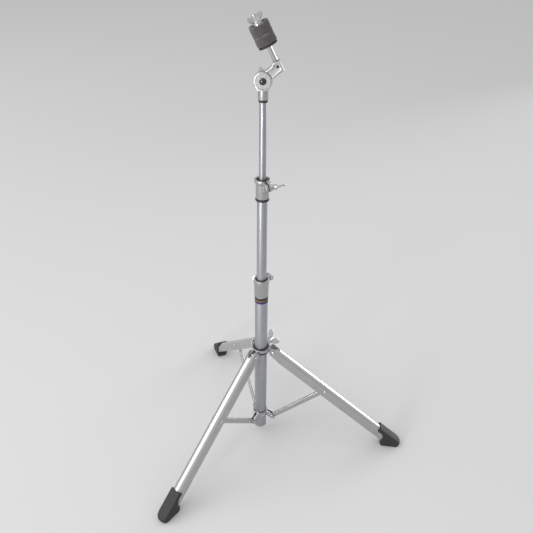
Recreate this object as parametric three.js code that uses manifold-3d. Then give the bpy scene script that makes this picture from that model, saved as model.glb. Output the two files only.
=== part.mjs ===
// A light cymbal stand: a folding tripod of pressed channels, three telescoping tubes,
// two split cast clamps, a toothed tilter and a short rod that carries two felts.
// Lengths are in millimetres, Z is up and the floor is at zero height.

import * as THREE from "three";
import { mergeVertices } from "three/addons/utils/BufferGeometryUtils.js";
import Module from "manifold-3d";

const wasm = await Module();
wasm.setup();

// Fits and fineness shared by every piece
const slack = 0.3;
const overrun = 3;
const roundSides = 32;
const smallSides = 12;
const arcSides = 5;
const cornerSides = 3;
const degrees = Math.PI / 180;
const quarterTurn = 90 * degrees;
const halfTurn = 180 * degrees;
const thirdTurn = 120 * degrees;

// Telescoping tubes. A draw is the bare length between one fitting and the next.
const lowerTube = { outer: 25.4, wall: 1.2, bottom: 18, length: 372 };
const middleTube = { outer: 19.05, wall: 1.2, length: 396, draw: 172.6 };
const topTube = { outer: 12.7, wall: 1.2, length: 385, draw: 140.8 };

// Tripod linkage. Both arms of each folding triangle are equally long.
const tripod = {
  legs: 3,
  firstAzimuth: -150 * degrees,
  pivotRadius: 27,
  armLength: 147,
  legAngle: 50.4 * degrees,
  collarPivotHeight: 46.3,
};

// Pressed legs with an arched web, open on the side that faces the tube
const leg = {
  width: 20.9,
  depth: 21.4,
  wall: 1.4,
  archHeight: 7,
  pivotToWeb: 9.7,
  webSetback: 4,
  endRadius: 8.6,
  endTaper: 22,
};

// Pressed braces, with a cross tube that fills the leg at their outer end
const brace = {
  width: 5.6,
  depth: 11,
  wall: 1.2,
  archHeight: 1.8,
  crossTubeRadius: 3.6,
};

// Rubber feet, with a round nose, cut back at the sides and flat underneath
const foot = {
  wall: 1.8,
  soleThickness: 3.5,
  cover: 44,
  noseRadius: 8,
  lip: 7,
  heelBeyondLip: 8,
  heelHeight: 6,
  scoopDepth: 12,
  scoopHeight: 32,
  scoopReach: 32,
  edgeRound: 2,
};

// Sliding crown
const crown = {
  bushWall: 3.2,
  bushBelow: 4,
  bushTopStep: 0.6,
  ringWall: 2.8,
  ringBottom: 2.6,
  ringHeight: 6,
  earRadius: 5.4,
  earThickness: 2.6,
  earDrop: 3.6,
  earInset: 2.6,
  hubRadius: 3.6,
  hubSlack: 0.4,
  boltAzimuth: 30 * degrees,
  bossRadius: 6.5,
  bossReach: 7.6,
  boltTurn: -44 * degrees,
};

// Fixed collar near the floor
const collar = {
  ringWall: 2.8,
  ringBottom: 3,
  ringTop: 16,
  earRadius: 5.8,
  earThickness: 2.4,
  rivetAzimuth: -90 * degrees,
  rivetRise: 9.5,
};

// Rivets, one line for each place
const pivotRivet = { shank: 2.6, head: 4.8, dome: 2 };
const braceRivet = { shank: 2.4, head: 4.4, dome: 1.8 };
const collarPin = { shank: 2.2, head: 3.6, dome: 1.2 };
const fixingRivet = { shank: 1.6, head: 3, dome: 1.1 };
const domeShares = [[1, 0], [0.88, 0.55], [0.5, 0.9]];

// Plain band round the lower tube
const labelBand = { height: 12.8, thickness: 0.3, below: 2.4 };

// Split clamps. Radii and heights of the casting, then of its two ears.
const clampEar = {
  boltReach: 8.6,
  radius: 7.2,
  thickness: 5,
  slit: 2.4,
};
const lowerClamp = {
  height: 38,
  footRadius: 13.8,
  waistRadius: 14.5,
  ringRadius: 15.3,
  mouthRadius: 12.2,
  waistHeight: 28,
  ringHeight: 30.5,
  earHeight: 29,
  socket: 18,
  chamfer: 1,
  bushSkirt: 16,
  bushRecess: 1,
  azimuth: 37.3 * degrees,
  wingTurn: -40 * degrees,
};
const upperClamp = {
  height: 37,
  footRadius: 11.7,
  waistRadius: 11.9,
  ringRadius: 14.5,
  mouthRadius: 11.4,
  waistHeight: 28,
  ringHeight: 32,
  earHeight: 28.5,
  socket: 19,
  chamfer: 1,
  bushSkirt: 16,
  bushRecess: 2,
  azimuth: -88.7 * degrees,
  wingTurn: -30 * degrees,
};
const bushSlit = 1.5;
const upperClampRing = { height: 4, bulge: 1 };
const upperClampRivet = { azimuth: -45 * degrees, height: 9 };

// Guide rings plugged on the hidden tube ends
const guide = { length: 12, lip: 3, spigotWall: 1.2 };

// Clamp bolts and every wing nut
const bolt = { radius: 3, headRadius: 5.4, headHeight: 3.8, proud: 2, hexSides: 6 };
const tallWing = {
  footRadius: 5.6,
  hubRadius: 4.6,
  hubHeight: 11,
  height: 24,
  halfSpan: 17,
  lobeRadius: 5.6,
  thickness: 3.2,
  root: 1.6,
};
const lowWing = {
  footRadius: 7,
  hubRadius: 5.8,
  hubHeight: 11,
  height: 12.5,
  halfSpan: 15,
  lobeRadius: 4.4,
  thickness: 3.2,
  root: 1.6,
};

// Tilter, in a frame of its own: X to the right of its face, Y to its back
const tilter = {
  facing: -28 * degrees,
  discRadius: 15,
  frontThickness: 7.5,
  backThickness: 8,
  pivotRise: 31,
  neckRadius: 8.75,
  neckRound: 1.4,
  neckBore: 13,
  flareStartShare: 0.574,
  facetTopShare: 0.53,
  boltRadius: 3.2,
  boltHead: 5.8,
  boltDome: 3.4,
  boltSlot: 1.2,
  boltSlotDepth: 1,
  wingTurn: 33 * degrees,
};
const teeth = { count: 20, depth: 1.3, inner: 6.4, outer: 14.2 };
const tilterRing = { height: 3.6, bulge: 0.9, taper: 1.6 };

// Arm of the tilter, in a frame that leans with the rod: U across it, V along it
const arm = {
  lean: 27.2 * degrees,
  rodOffset: 31.5,
  blockHalfWidth: 6.6,
  blockTop: 18.6,
  blockBottom: 1,
  frontThickness: 7.2,
  heelOffset: 15.3,
  heelDrop: 4,
  throatOffset: 16,
  throatHeight: 13,
  crestOffset: 8,
  crestHeight: 12.7,
  rimWidth: 2.2,
  panelDepth: 1.4,
  socketFloor: 4,
  cornerRadius: 1.6,
};
const setScrew = { height: 10.6, radius: 2.2, recess: 0.3, socket: 1.2, socketDepth: 1.1 };

// Rod, felts and what holds them, measured along the rod
const rod = { radius: 4, bare: 26, tipBeyondNut: 2, shoulderRadius: 5.6, shoulderHeight: 1.6 };
const seatWasher = { radius: 16, height: 2.4 };
const sleeve = { radius: 6, shortBy: 1 };
const felt = { radius: 17, height: 17.4, edge: 1 };
const topWing = { turn: 45 * degrees };

// Materials
const chrome = new THREE.MeshStandardMaterial({ color: 0xc9ccd0, roughness: 0.18, metalness: 1 });
const satinTube = new THREE.MeshStandardMaterial({ color: 0xb4b8bd, roughness: 0.3, metalness: 1 });
const pressedSteel = new THREE.MeshStandardMaterial({ color: 0xd8d9db, roughness: 0.34, metalness: 1 });
const castMetal = new THREE.MeshStandardMaterial({ color: 0xc4c7cb, roughness: 0.24, metalness: 1 });
const blackNylon = new THREE.MeshStandardMaterial({ color: 0x17171a, roughness: 0.55, metalness: 0 });
const blackRubber = new THREE.MeshStandardMaterial({ color: 0x1f2021, roughness: 0.8, metalness: 0 });
const greyFelt = new THREE.MeshStandardMaterial({ color: 0x56545a, roughness: 1, metalness: 0 });
const darkBand = new THREE.MeshStandardMaterial({ color: 0x241a2c, roughness: 0.45, metalness: 0 });

// Solids and booleans

// A closed geometry as a solid that can be joined and cut
function solidOf(geometry) {
  const bare = geometry.clone();
  bare.deleteAttribute("normal");
  bare.deleteAttribute("uv");
  const merged = mergeVertices(bare);
  const corners = merged.index.array;
  const kept = [];
  for (let i = 0; i < corners.length; i += 3) {
    const [a, b, c] = [corners[i], corners[i + 1], corners[i + 2]];
    if (a !== b && b !== c && c !== a) {
      kept.push(a, b, c);
    }
  }
  return new wasm.Manifold(new wasm.Mesh({
    numProp: 3,
    vertProperties: new Float32Array(merged.attributes.position.array),
    triVerts: new Uint32Array(kept),
  }));
}

function geometryOf(solid) {
  const mesh = solid.getMesh();
  const geometry = new THREE.BufferGeometry();
  geometry.setAttribute("position", new THREE.BufferAttribute(mesh.vertProperties, 3));
  geometry.setIndex(new THREE.BufferAttribute(mesh.triVerts, 1));
  geometry.computeVertexNormals();
  return geometry;
}

// Joins the first list of geometries and cuts the second list out of the result
function built(joined, cutters = []) {
  let solid = solidOf(joined[0]);
  for (const extra of joined.slice(1)) {
    solid = solid.add(solidOf(extra));
  }
  for (const cutter of cutters) {
    solid = solid.subtract(solidOf(cutter));
  }
  return geometryOf(solid);
}

function common(first, second) {
  return geometryOf(solidOf(first).intersect(solidOf(second)));
}

// Shapes

// Revolves a closed profile of [radius, height] pairs round Z
function revolved(profile, sides = roundSides) {
  let doubleArea = 0;
  profile.forEach(([r, z], i) => {
    const [nextR, nextZ] = profile[(i + 1) % profile.length];
    doubleArea += r * nextZ - nextR * z;
  });
  const ordered = doubleArea > 0 ? profile : [...profile].reverse();
  const points = ordered.map(([r, z]) => new THREE.Vector2(r, z));
  const [first, last] = [points[0], points[points.length - 1]];
  if (first.x !== 0 || last.x !== 0) {
    points.push(first.clone());
  }
  return new THREE.LatheGeometry(points, sides).rotateX(quarterTurn);
}

// A ring or tube with square ends
function hollow(inner, outer, bottom, top, sides = roundSides) {
  return revolved([[inner, bottom], [outer, bottom], [outer, top], [inner, top]], sides);
}

// A plain cylinder along Z
function cylinder(radius, bottom, top, sides = smallSides) {
  const height = top - bottom;
  const shape = new THREE.CylinderGeometry(radius, radius, height, sides).rotateX(quarterTurn);
  return shape.translate(0, 0, bottom + height / 2);
}

// A plain cylinder along Y through the point x, z
function crossCylinder(radius, from, to, x = 0, z = 0, sides = smallSides) {
  return cylinder(radius, from, to, sides).rotateX(-quarterTurn).translate(x, 0, z);
}

// A plate whose outline lies in the XZ plane, between two places along Y
function plateBetween(shape, from, to, curveSegments = arcSides) {
  const depth = to - from;
  const plate = new THREE.ExtrudeGeometry(shape, { depth, bevelEnabled: false, curveSegments });
  return plate.rotateX(quarterTurn).translate(0, to, 0);
}

// The same, centred on Y
function plate(shape, thickness, curveSegments = arcSides) {
  return plateBetween(shape, -thickness / 2, thickness / 2, curveSegments);
}

// A section drawn in the YZ plane, drawn out along X
function barAlongX(section, from, to) {
  const depth = to - from;
  const bar = new THREE.ExtrudeGeometry(section, { depth, bevelEnabled: false, curveSegments: cornerSides });
  const cycle = new THREE.Matrix4().makeBasis(
    new THREE.Vector3(0, 1, 0), new THREE.Vector3(0, 0, 1), new THREE.Vector3(1, 0, 0));
  return bar.applyMatrix4(cycle).translate(from, 0, 0);
}

function polygon(points) {
  return new THREE.Shape(points.map(([x, y]) => new THREE.Vector2(x, y)));
}

function rectangle(left, bottom, right, top) {
  return polygon([[left, bottom], [right, bottom], [right, top], [left, top]]);
}

// Outline of a pressed channel's outside, grown by a fit, its arched web on top
function channelOutside(size, pivotToWeb, fit) {
  const side = size.width / 2 + fit;
  const bottom = pivotToWeb - size.depth - fit;
  const shoulder = pivotToWeb - size.archHeight;
  const shape = new THREE.Shape();
  shape.moveTo(side, bottom);
  shape.lineTo(side, shoulder);
  shape.absellipse(0, shoulder, side, size.archHeight + fit, 0, halfTurn, false, 0);
  shape.lineTo(-side, bottom);
  return shape;
}

// Section of a pressed channel: its outside, then back along its inside
function channelSection(size, pivotToWeb) {
  const side = size.width / 2 - size.wall;
  const bottom = pivotToWeb - size.depth;
  const rise = Math.max(size.archHeight - size.wall, slack);
  const shape = channelOutside(size, pivotToWeb, 0);
  shape.lineTo(-side, bottom);
  shape.absellipse(0, pivotToWeb - size.archHeight, side, rise, halfTurn, 0, true, 0);
  shape.lineTo(side, bottom);
  return shape;
}

// A rivet along Y, with a dome on each end
function rivet(size, halfGrip) {
  const grip = halfGrip + slack;
  const dome = domeShares.map(([r, h]) => [r * size.head, grip + h * size.dome]);
  const upper = [[size.shank, grip], ...dome, [0, grip + size.dome]];
  const lower = upper.map(([r, z]) => [r, -z]).reverse();
  return revolved([...lower, ...upper], smallSides).rotateX(quarterTurn);
}

// A blind rivet along Z from the inside of a wall at zero height, with one dome outside
function blindRivet(size, wallThickness) {
  const under = wallThickness + slack;
  const dome = domeShares.map(([r, h]) => [r * size.head, under + h * size.dome]);
  return revolved([[0, 0], [size.shank, 0], [size.shank, under], ...dome, [0, under + size.dome]], smallSides);
}

// Placing

const stand = new THREE.Group();

function add(parent, name, geometry, material) {
  const mesh = new THREE.Mesh(geometry, material);
  mesh.name = name;
  parent.add(mesh);
  return mesh;
}

function turnedGroup(parent, azimuth, height = 0) {
  const group = new THREE.Group();
  group.rotation.z = azimuth;
  group.position.z = height;
  parent.add(group);
  return group;
}

// Heights up the stand, worked out from the floor
const crownPivotHeight = tripod.collarPivotHeight
  + 2 * tripod.armLength * Math.cos(tripod.legAngle);
const lowerTubeTop = lowerTube.bottom + lowerTube.length;
const lowerClampBottom = lowerTubeTop + slack - lowerClamp.socket;
const lowerClampTop = lowerClampBottom + lowerClamp.height;
const upperClampBottom = lowerClampTop + middleTube.draw;
const upperClampTop = upperClampBottom + upperClamp.height;
const middleTubeTop = upperClampBottom + upperClamp.socket - slack;
const middleTubeBottom = middleTubeTop - middleTube.length;
const tilterBottom = upperClampTop + topTube.draw;
const tilterPivotHeight = tilterBottom + tilter.pivotRise;
const topTubeTop = tilterBottom + tilter.neckBore - slack;
const topTubeBottom = topTubeTop - topTube.length;

// Wing nuts and bolts

// Both wings and the web between them, in the XZ plane with the axis along Z
function wingOutline(size) {
  const lobeX = size.halfSpan - size.lobeRadius;
  const lobeZ = size.height - size.lobeRadius;
  const underShare = 0.8;
  const lobeStart = -20 * degrees;
  const lobeEnd = 150 * degrees;
  const shape = new THREE.Shape();
  shape.moveTo(-size.footRadius, size.root);
  shape.lineTo(size.footRadius, size.root);
  shape.quadraticCurveTo(lobeX * underShare, size.root,
    lobeX + size.lobeRadius * Math.cos(lobeStart), lobeZ + size.lobeRadius * Math.sin(lobeStart));
  shape.absarc(lobeX, lobeZ, size.lobeRadius, lobeStart, lobeEnd, false);
  shape.lineTo(0, Math.min(size.hubHeight, lobeZ) - size.root);
  shape.absarc(-lobeX, lobeZ, size.lobeRadius, halfTurn - lobeEnd, halfTurn - lobeStart, false);
  shape.quadraticCurveTo(-lobeX * underShare, size.root, -size.footRadius, size.root);
  return shape;
}

function wingHub(size) {
  const profile = [
    [0, 0], [size.footRadius, 0], [size.footRadius, size.root], [size.hubRadius, size.hubHeight],
    [0, size.hubHeight],
  ];
  return revolved(profile, smallSides);
}

// A wing nut that stands on the XY plane, bored for a bolt
function wingNut(size, boltRadius) {
  const wings = plate(wingOutline(size), size.thickness);
  const bore = cylinder(boltRadius + slack, -overrun, size.height);
  return built([wingHub(size), wings], [bore]);
}

// A wing bolt whose wings start at the XY plane and whose shank points down
function wingBolt(size, boltRadius, shankLength) {
  const wings = plate(wingOutline(size), size.thickness);
  const shank = cylinder(boltRadius, -shankLength, size.root);
  return built([wingHub(size), wings, shank]);
}

// A hexagon bolt along Y: its head lies at negative Y, against the plane y = under
function hexBolt(under, end) {
  const head = crossCylinder(bolt.headRadius, under - bolt.headHeight, under, 0, 0, bolt.hexSides);
  return built([head, crossCylinder(bolt.radius, under - bolt.headHeight / 2, end)]);
}

// Tubes
function tube(size, bottom) {
  const outer = size.outer / 2;
  return hollow(outer - size.wall, outer, bottom, bottom + size.length);
}

// A guide ring that plugs into a tube's lower end and runs in the tube outside it
function guideRing(inside, outside, bottom) {
  const running = outside.outer / 2 - outside.wall - slack;
  const plugOuter = inside.outer / 2 - inside.wall - slack;
  const bore = plugOuter - guide.spigotWall;
  const lipTop = bottom - slack;
  return revolved([
    [bore, lipTop - guide.lip], [running, lipTop - guide.lip], [running, lipTop],
    [plugOuter, lipTop], [plugOuter, lipTop + guide.length], [bore, lipTop + guide.length],
  ]);
}

// Split clamps

// Outer and inner radii of a clamp, with the tube's socket below and the bush's mouth above
function clampProfile(size, tubeRadius) {
  return [
    [tubeRadius + slack, 0], [size.footRadius, 0], [size.waistRadius, size.waistHeight],
    [size.ringRadius, size.ringHeight], [size.ringRadius, size.height - size.chamfer],
    [size.ringRadius - size.chamfer, size.height], [size.mouthRadius, size.height],
    [size.mouthRadius, size.socket], [tubeRadius + slack, size.socket],
  ];
}

function earReach(size) {
  return size.ringRadius + clampEar.boltReach;
}

const earHalf = clampEar.thickness + clampEar.slit / 2;

// A split clamp on its foot, with its slit along X and its bolt along Y
function clampBody(size, tubeRadius) {
  const height = size.earHeight;
  const reach = earReach(size);
  const root = size.mouthRadius + slack;
  const ears = new THREE.Shape();
  ears.moveTo(root, height - clampEar.radius);
  ears.lineTo(reach, height - clampEar.radius);
  ears.absarc(reach, height, clampEar.radius, -quarterTurn, quarterTurn, false);
  ears.lineTo(root, height + clampEar.radius);
  const slit = rectangle(0, size.socket, reach + clampEar.radius + overrun, size.height + overrun);
  const body = revolved(clampProfile(size, tubeRadius));
  const boltHole = crossCylinder(bolt.radius + slack, -earHalf - overrun, earHalf + overrun, reach, height);
  return built([body, plate(ears, 2 * earHalf)], [plate(slit, clampEar.slit), boltHole]);
}

// The nylon bush of a clamp: a skirt inside the outer tube and a body in the clamp's ring
function clampBush(size, outerTube, innerTube) {
  const bore = innerTube.outer / 2 + slack;
  const skirt = outerTube.outer / 2 - outerTube.wall - slack;
  const body = size.mouthRadius - slack;
  const shelf = size.socket + slack;
  const foot = shelf - size.bushSkirt;
  const top = size.height - size.bushRecess;
  const ring = revolved([[bore, foot], [skirt, foot], [skirt, shelf], [body, shelf], [body, top], [bore, top]]);
  const slit = rectangle(0, foot - overrun, body + overrun, top + overrun);
  return built([ring], [plate(slit, bushSlit)]);
}

// Puts a radial feature that was made along Z on a round wall
function radially(geometry, radius, azimuth, height) {
  return geometry.translate(0, 0, radius).rotateY(quarterTurn).rotateZ(azimuth).translate(0, 0, height);
}

function addClamp(prefix, size, bottom, outerTube, innerTube, cutters = []) {
  const group = turnedGroup(stand, size.azimuth, bottom);
  const body = clampBody(size, outerTube.outer / 2);
  add(group, `${prefix}_clamp`, cutters.length > 0 ? built([body], cutters) : body, castMetal);
  add(group, `${prefix}_bush`, clampBush(size, outerTube, innerTube), blackNylon);
  const across = new THREE.Group();
  across.position.set(earReach(size), 0, size.earHeight);
  group.add(across);
  const nutFoot = earHalf + slack;
  const end = nutFoot + tallWing.hubHeight + bolt.proud;
  add(across, `${prefix}_clamp_bolt`, hexBolt(-nutFoot, end), chrome);
  const nut = wingNut(tallWing, bolt.radius).rotateZ(size.wingTurn).rotateX(-quarterTurn);
  add(across, `${prefix}_clamp_wing_nut`, nut.translate(0, nutFoot, 0), chrome);
  return group;
}

// Lower stage: tube, collar, label band and clamp
function addLowerStage() {
  const outer = lowerTube.outer / 2;
  add(stand, "lower_tube", tube(lowerTube, lowerTube.bottom), satinTube);
  const bandTop = lowerClampBottom - labelBand.below;
  const band = hollow(outer + slack, outer + slack + labelBand.thickness, bandTop - labelBand.height, bandTop);
  add(stand, "label_band", band, darkBand);
  addClamp("lower", lowerClamp, lowerClampBottom, lowerTube, middleTube);
}

// Two parallel ears of one outline, with a slot between them
function earPair(shape, thickness, halfGap, slotFrom, slotReach, slotHalfHeight) {
  const block = plate(shape, 2 * (halfGap + thickness));
  const slot = rectangle(slotFrom, -slotHalfHeight, slotReach, slotHalfHeight);
  return built([block], [plate(slot, 2 * halfGap)]);
}

// An ear's outline: a round end about the pivot, drawn in to a root on its ring
function earOutline(pivotX, radius, rootX, rootBottom, rootTop) {
  const upper = 70 * degrees;
  const lower = -100 * degrees;
  const shape = new THREE.Shape();
  shape.moveTo(rootX, rootBottom);
  shape.lineTo(pivotX + radius * Math.cos(lower), radius * Math.sin(lower));
  shape.absarc(pivotX, 0, radius, lower, upper, false);
  shape.lineTo(rootX, rootTop);
  return shape;
}

// Azimuths of the three legs
const legAzimuths = Array.from({ length: tripod.legs }, (_, i) => tripod.firstAzimuth + i * thirdTurn);

function aroundLegs(makeGeometry) {
  return legAzimuths.map((azimuth) => makeGeometry().rotateZ(azimuth));
}

function addCollar() {
  const group = turnedGroup(stand, 0, tripod.collarPivotHeight);
  const bore = lowerTube.outer / 2 + slack;
  const ringOuter = bore + collar.ringWall;
  const halfGap = brace.width / 2 + slack;
  const ear = () => earPair(
    earOutline(tripod.pivotRadius, collar.earRadius, bore + slack, collar.ringBottom, collar.ringTop),
    collar.earThickness, halfGap, ringOuter + slack, tripod.pivotRadius + 2 * collar.earRadius,
    2 * collar.ringTop);
  const holes = aroundLegs(() => crossCylinder(
    collarPin.shank + slack, -ringOuter, ringOuter, tripod.pivotRadius));
  const ring = hollow(bore, ringOuter, collar.ringBottom, collar.ringTop);
  const rivetHole = radially(
    cylinder(fixingRivet.shank + slack, 0, ringOuter + overrun), 0, collar.rivetAzimuth, collar.rivetRise);
  add(group, "lower_collar", built([ring, ...aroundLegs(ear)], [...holes, rivetHole]), castMetal);
  const fixing = blindRivet(fixingRivet, collar.ringWall);
  add(group, "collar_rivet", radially(fixing, bore, collar.rivetAzimuth, collar.rivetRise), chrome);
  legAzimuths.forEach((azimuth, i) => {
    const place = turnedGroup(group, azimuth);
    const pin = rivet(collarPin, halfGap + collar.earThickness);
    add(place, `collar_rivet_pin_${i + 1}`, pin.translate(tripod.pivotRadius, 0, 0), chrome);
  });
}

// Tripod legs, each in a frame at its crown pivot: X down the leg, Z out of its web
const openSide = leg.depth - leg.pivotToWeb;
const legSine = Math.sin(tripod.legAngle);
const legCosine = Math.cos(tripod.legAngle);
const legPitch = quarterTurn - tripod.legAngle;
const legEnd = (crownPivotHeight - openSide * legSine - foot.soleThickness) / legCosine;

// Place on a leg as a radius from the tube's axis and a height above the floor
function onLeg(along, out) {
  return [
    tripod.pivotRadius + along * legSine + out * legCosine,
    crownPivotHeight - along * legCosine + out * legSine,
  ];
}

function legGeometry() {
  const channel = barAlongX(channelSection(leg, leg.pivotToWeb), -leg.endRadius, legEnd);
  const side = new THREE.Shape();
  side.moveTo(legEnd + overrun, -openSide - overrun);
  side.lineTo(legEnd + overrun, leg.pivotToWeb + overrun);
  side.lineTo(leg.webSetback, leg.pivotToWeb + overrun);
  side.lineTo(leg.webSetback, leg.pivotToWeb);
  side.absarc(0, 0, leg.endRadius, quarterTurn, quarterTurn + halfTurn, false);
  side.lineTo(leg.endTaper, -openSide);
  side.lineTo(leg.endTaper, -openSide - overrun);
  const trimmed = common(channel, plate(side, leg.width + 2 * overrun));
  const half = leg.width / 2 + overrun;
  return built([trimmed], [
    crossCylinder(pivotRivet.shank + slack, -half, half),
    crossCylinder(braceRivet.shank + slack, -half, half, tripod.armLength),
  ]);
}

// Braces, in a frame at the collar pivot: X up the brace, Z out of its web
function braceGeometry() {
  const round = brace.depth / 2;
  const channel = barAlongX(channelSection(brace, round), -round, tripod.armLength + round);
  const side = new THREE.Shape();
  side.moveTo(0, -round);
  side.lineTo(tripod.armLength, -round);
  side.absarc(tripod.armLength, 0, round, -quarterTurn, quarterTurn, false);
  side.lineTo(0, round);
  side.absarc(0, 0, round, quarterTurn, quarterTurn + halfTurn, false);
  const trimmed = common(channel, plate(side, brace.width + 2 * overrun));
  const halfTube = leg.width / 2 - leg.wall - slack;
  const crossTube = crossCylinder(brace.crossTubeRadius, -halfTube, halfTube, tripod.armLength);
  return built([trimmed, crossTube], [
    crossCylinder(collarPin.shank + slack, -brace.width, brace.width),
    crossCylinder(braceRivet.shank + slack, -leg.width, leg.width, tripod.armLength),
  ]);
}

// Rubber foot, drawn in the leg's upright plane: X outwards from the tube, Z up
function footGeometry() {
  const skin = leg.pivotToWeb + slack + foot.wall;
  const [flapX, flapZ] = onLeg(legEnd - foot.cover, skin);
  const [lipX, lipZ] = onLeg(legEnd - foot.cover, skin - foot.lip);
  const heelX = lipX + foot.heelBeyondLip;
  const topMeetsFloor = flapX + flapZ / Math.tan(legPitch);
  const noseX = topMeetsFloor - foot.noseRadius / Math.tan(legPitch / 2);
  const outline = new THREE.Shape();
  outline.moveTo(heelX, 0);
  outline.lineTo(noseX, 0);
  outline.absarc(noseX, foot.noseRadius, foot.noseRadius, -quarterTurn, quarterTurn - legPitch, false);
  outline.lineTo(flapX, flapZ);
  outline.lineTo(lipX, lipZ);
  outline.lineTo(heelX, foot.heelHeight);
  const halfWidth = leg.width / 2 + slack + foot.wall;
  const settings = {
    depth: 2 * (halfWidth - foot.edgeRound),
    bevelEnabled: true,
    bevelThickness: foot.edgeRound,
    bevelSize: foot.edgeRound,
    bevelOffset: -foot.edgeRound,
    bevelSegments: 2,
    curveSegments: arcSides,
  };
  const outer = new THREE.ExtrudeGeometry(outline, settings);
  outer.translate(0, 0, foot.edgeRound - halfWidth).rotateX(quarterTurn);
  const pocketFrom = legEnd - foot.cover - foot.scoopReach;
  const pocket = barAlongX(channelOutside(leg, leg.pivotToWeb, slack), pocketFrom, legEnd + slack);
  pocket.rotateY(legPitch).translate(tripod.pivotRadius, 0, crownPivotHeight);
  const scoop = new THREE.Shape();
  scoop.absellipse(lipX, (lipZ + foot.heelHeight) / 2, foot.scoopDepth, foot.scoopHeight / 2,
    0, 2 * halfTurn, false, 0);
  return built([outer], [pocket, plate(scoop, leg.width * 2, smallSides)]);
}

function addLegs() {
  legAzimuths.forEach((azimuth, i) => {
    const plane = turnedGroup(stand, azimuth);
    const legFrame = new THREE.Group();
    legFrame.position.set(tripod.pivotRadius, 0, crownPivotHeight);
    legFrame.rotation.y = legPitch;
    plane.add(legFrame);
    add(legFrame, `leg_${i + 1}`, legGeometry(), pressedSteel);
    const middle = rivet(braceRivet, leg.width / 2).translate(tripod.armLength, 0, 0);
    add(legFrame, `brace_rivet_${i + 1}`, middle, chrome);
    const braceFrame = new THREE.Group();
    braceFrame.position.set(tripod.pivotRadius, 0, tripod.collarPivotHeight);
    braceFrame.rotation.y = -legPitch;
    plane.add(braceFrame);
    add(braceFrame, `brace_${i + 1}`, braceGeometry(), pressedSteel);
    add(plane, `foot_${i + 1}`, footGeometry(), blackRubber);
  });
}

function addCrown() {
  const group = turnedGroup(stand, 0, crownPivotHeight);
  const bushBore = lowerTube.outer / 2 + slack;
  const bushOuter = bushBore + crown.bushWall;
  const ringBore = bushOuter + slack;
  const ringOuter = ringBore + crown.ringWall;
  const ringTop = crown.ringBottom + crown.ringHeight;
  const boltHeight = crown.ringBottom + crown.ringHeight / 2;
  const insideLeg = leg.width / 2 - leg.wall;
  const halfGap = insideLeg - crown.earInset - crown.earThickness;
  const ear = () => earPair(
    earOutline(tripod.pivotRadius, crown.earRadius, ringBore + slack, -crown.earDrop, ringTop),
    crown.earThickness, halfGap, ringOuter + slack, tripod.pivotRadius + 2 * crown.earRadius, 2 * ringTop);
  const hub = [halfGap, insideLeg - crown.hubSlack, tripod.pivotRadius];
  const hubs = () => crossCylinder(crown.hubRadius, ...hub);
  const farHubs = () => hubs().translate(0, -hub[0] - hub[1], 0);
  const bossEnd = ringOuter + crown.bossReach;
  const boss = radially(cylinder(crown.bossRadius, ringBore + slack, bossEnd), 0, crown.boltAzimuth, boltHeight);
  const boltHole = radially(
    cylinder(bolt.radius + slack, bushBore, bossEnd + overrun), 0, crown.boltAzimuth, boltHeight);
  const pinHoles = aroundLegs(() => crossCylinder(
    pivotRivet.shank + slack, -leg.width, leg.width, tripod.pivotRadius));
  const ring = hollow(ringBore, ringOuter, crown.ringBottom, ringTop);
  const casting = [ring, boss, ...aroundLegs(ear), ...aroundLegs(hubs), ...aroundLegs(farHubs)];
  add(group, "leg_crown", built(casting, [boltHole, ...pinHoles]), castMetal);
  const bush = hollow(bushBore, bushOuter, -crown.bushBelow, ringTop + crown.bushTopStep);
  add(group, "crown_bush", bush, blackNylon);
  const wings = wingBolt(tallWing, bolt.radius, bossEnd - bushOuter).rotateZ(crown.boltTurn);
  add(group, "crown_wing_bolt", radially(wings, bossEnd + slack, crown.boltAzimuth, boltHeight), chrome);
  legAzimuths.forEach((azimuth, i) => {
    const place = turnedGroup(group, azimuth);
    const pin = rivet(pivotRivet, leg.width / 2).translate(tripod.pivotRadius, 0, 0);
    add(place, `leg_pivot_${i + 1}`, pin, chrome);
  });
}

// Middle stage: tube, guide ring, clamp, the ring under it and its rivet
function addMiddleStage() {
  const outer = middleTube.outer / 2;
  add(stand, "middle_tube", tube(middleTube, middleTubeBottom), satinTube);
  add(stand, "middle_guide", guideRing(middleTube, lowerTube, middleTubeBottom), blackNylon);
  const place = [upperClampRivet.azimuth - upperClamp.azimuth, upperClampRivet.height];
  const hole = radially(cylinder(fixingRivet.shank + slack, 0, outer), outer, ...place);
  const group = addClamp("upper", upperClamp, upperClampBottom, middleTube, topTube, [hole]);
  const bore = outer + slack;
  const ringOuter = upperClamp.footRadius + upperClampRing.bulge;
  const ring = hollow(bore, ringOuter, -slack - upperClampRing.height, -slack);
  add(group, "upper_clamp_ring", ring, blackNylon);
  const fixing = blindRivet(fixingRivet, upperClamp.footRadius - bore);
  add(group, "upper_clamp_rivet", radially(fixing, bore, ...place), chrome);
}

// Tilter

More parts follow.
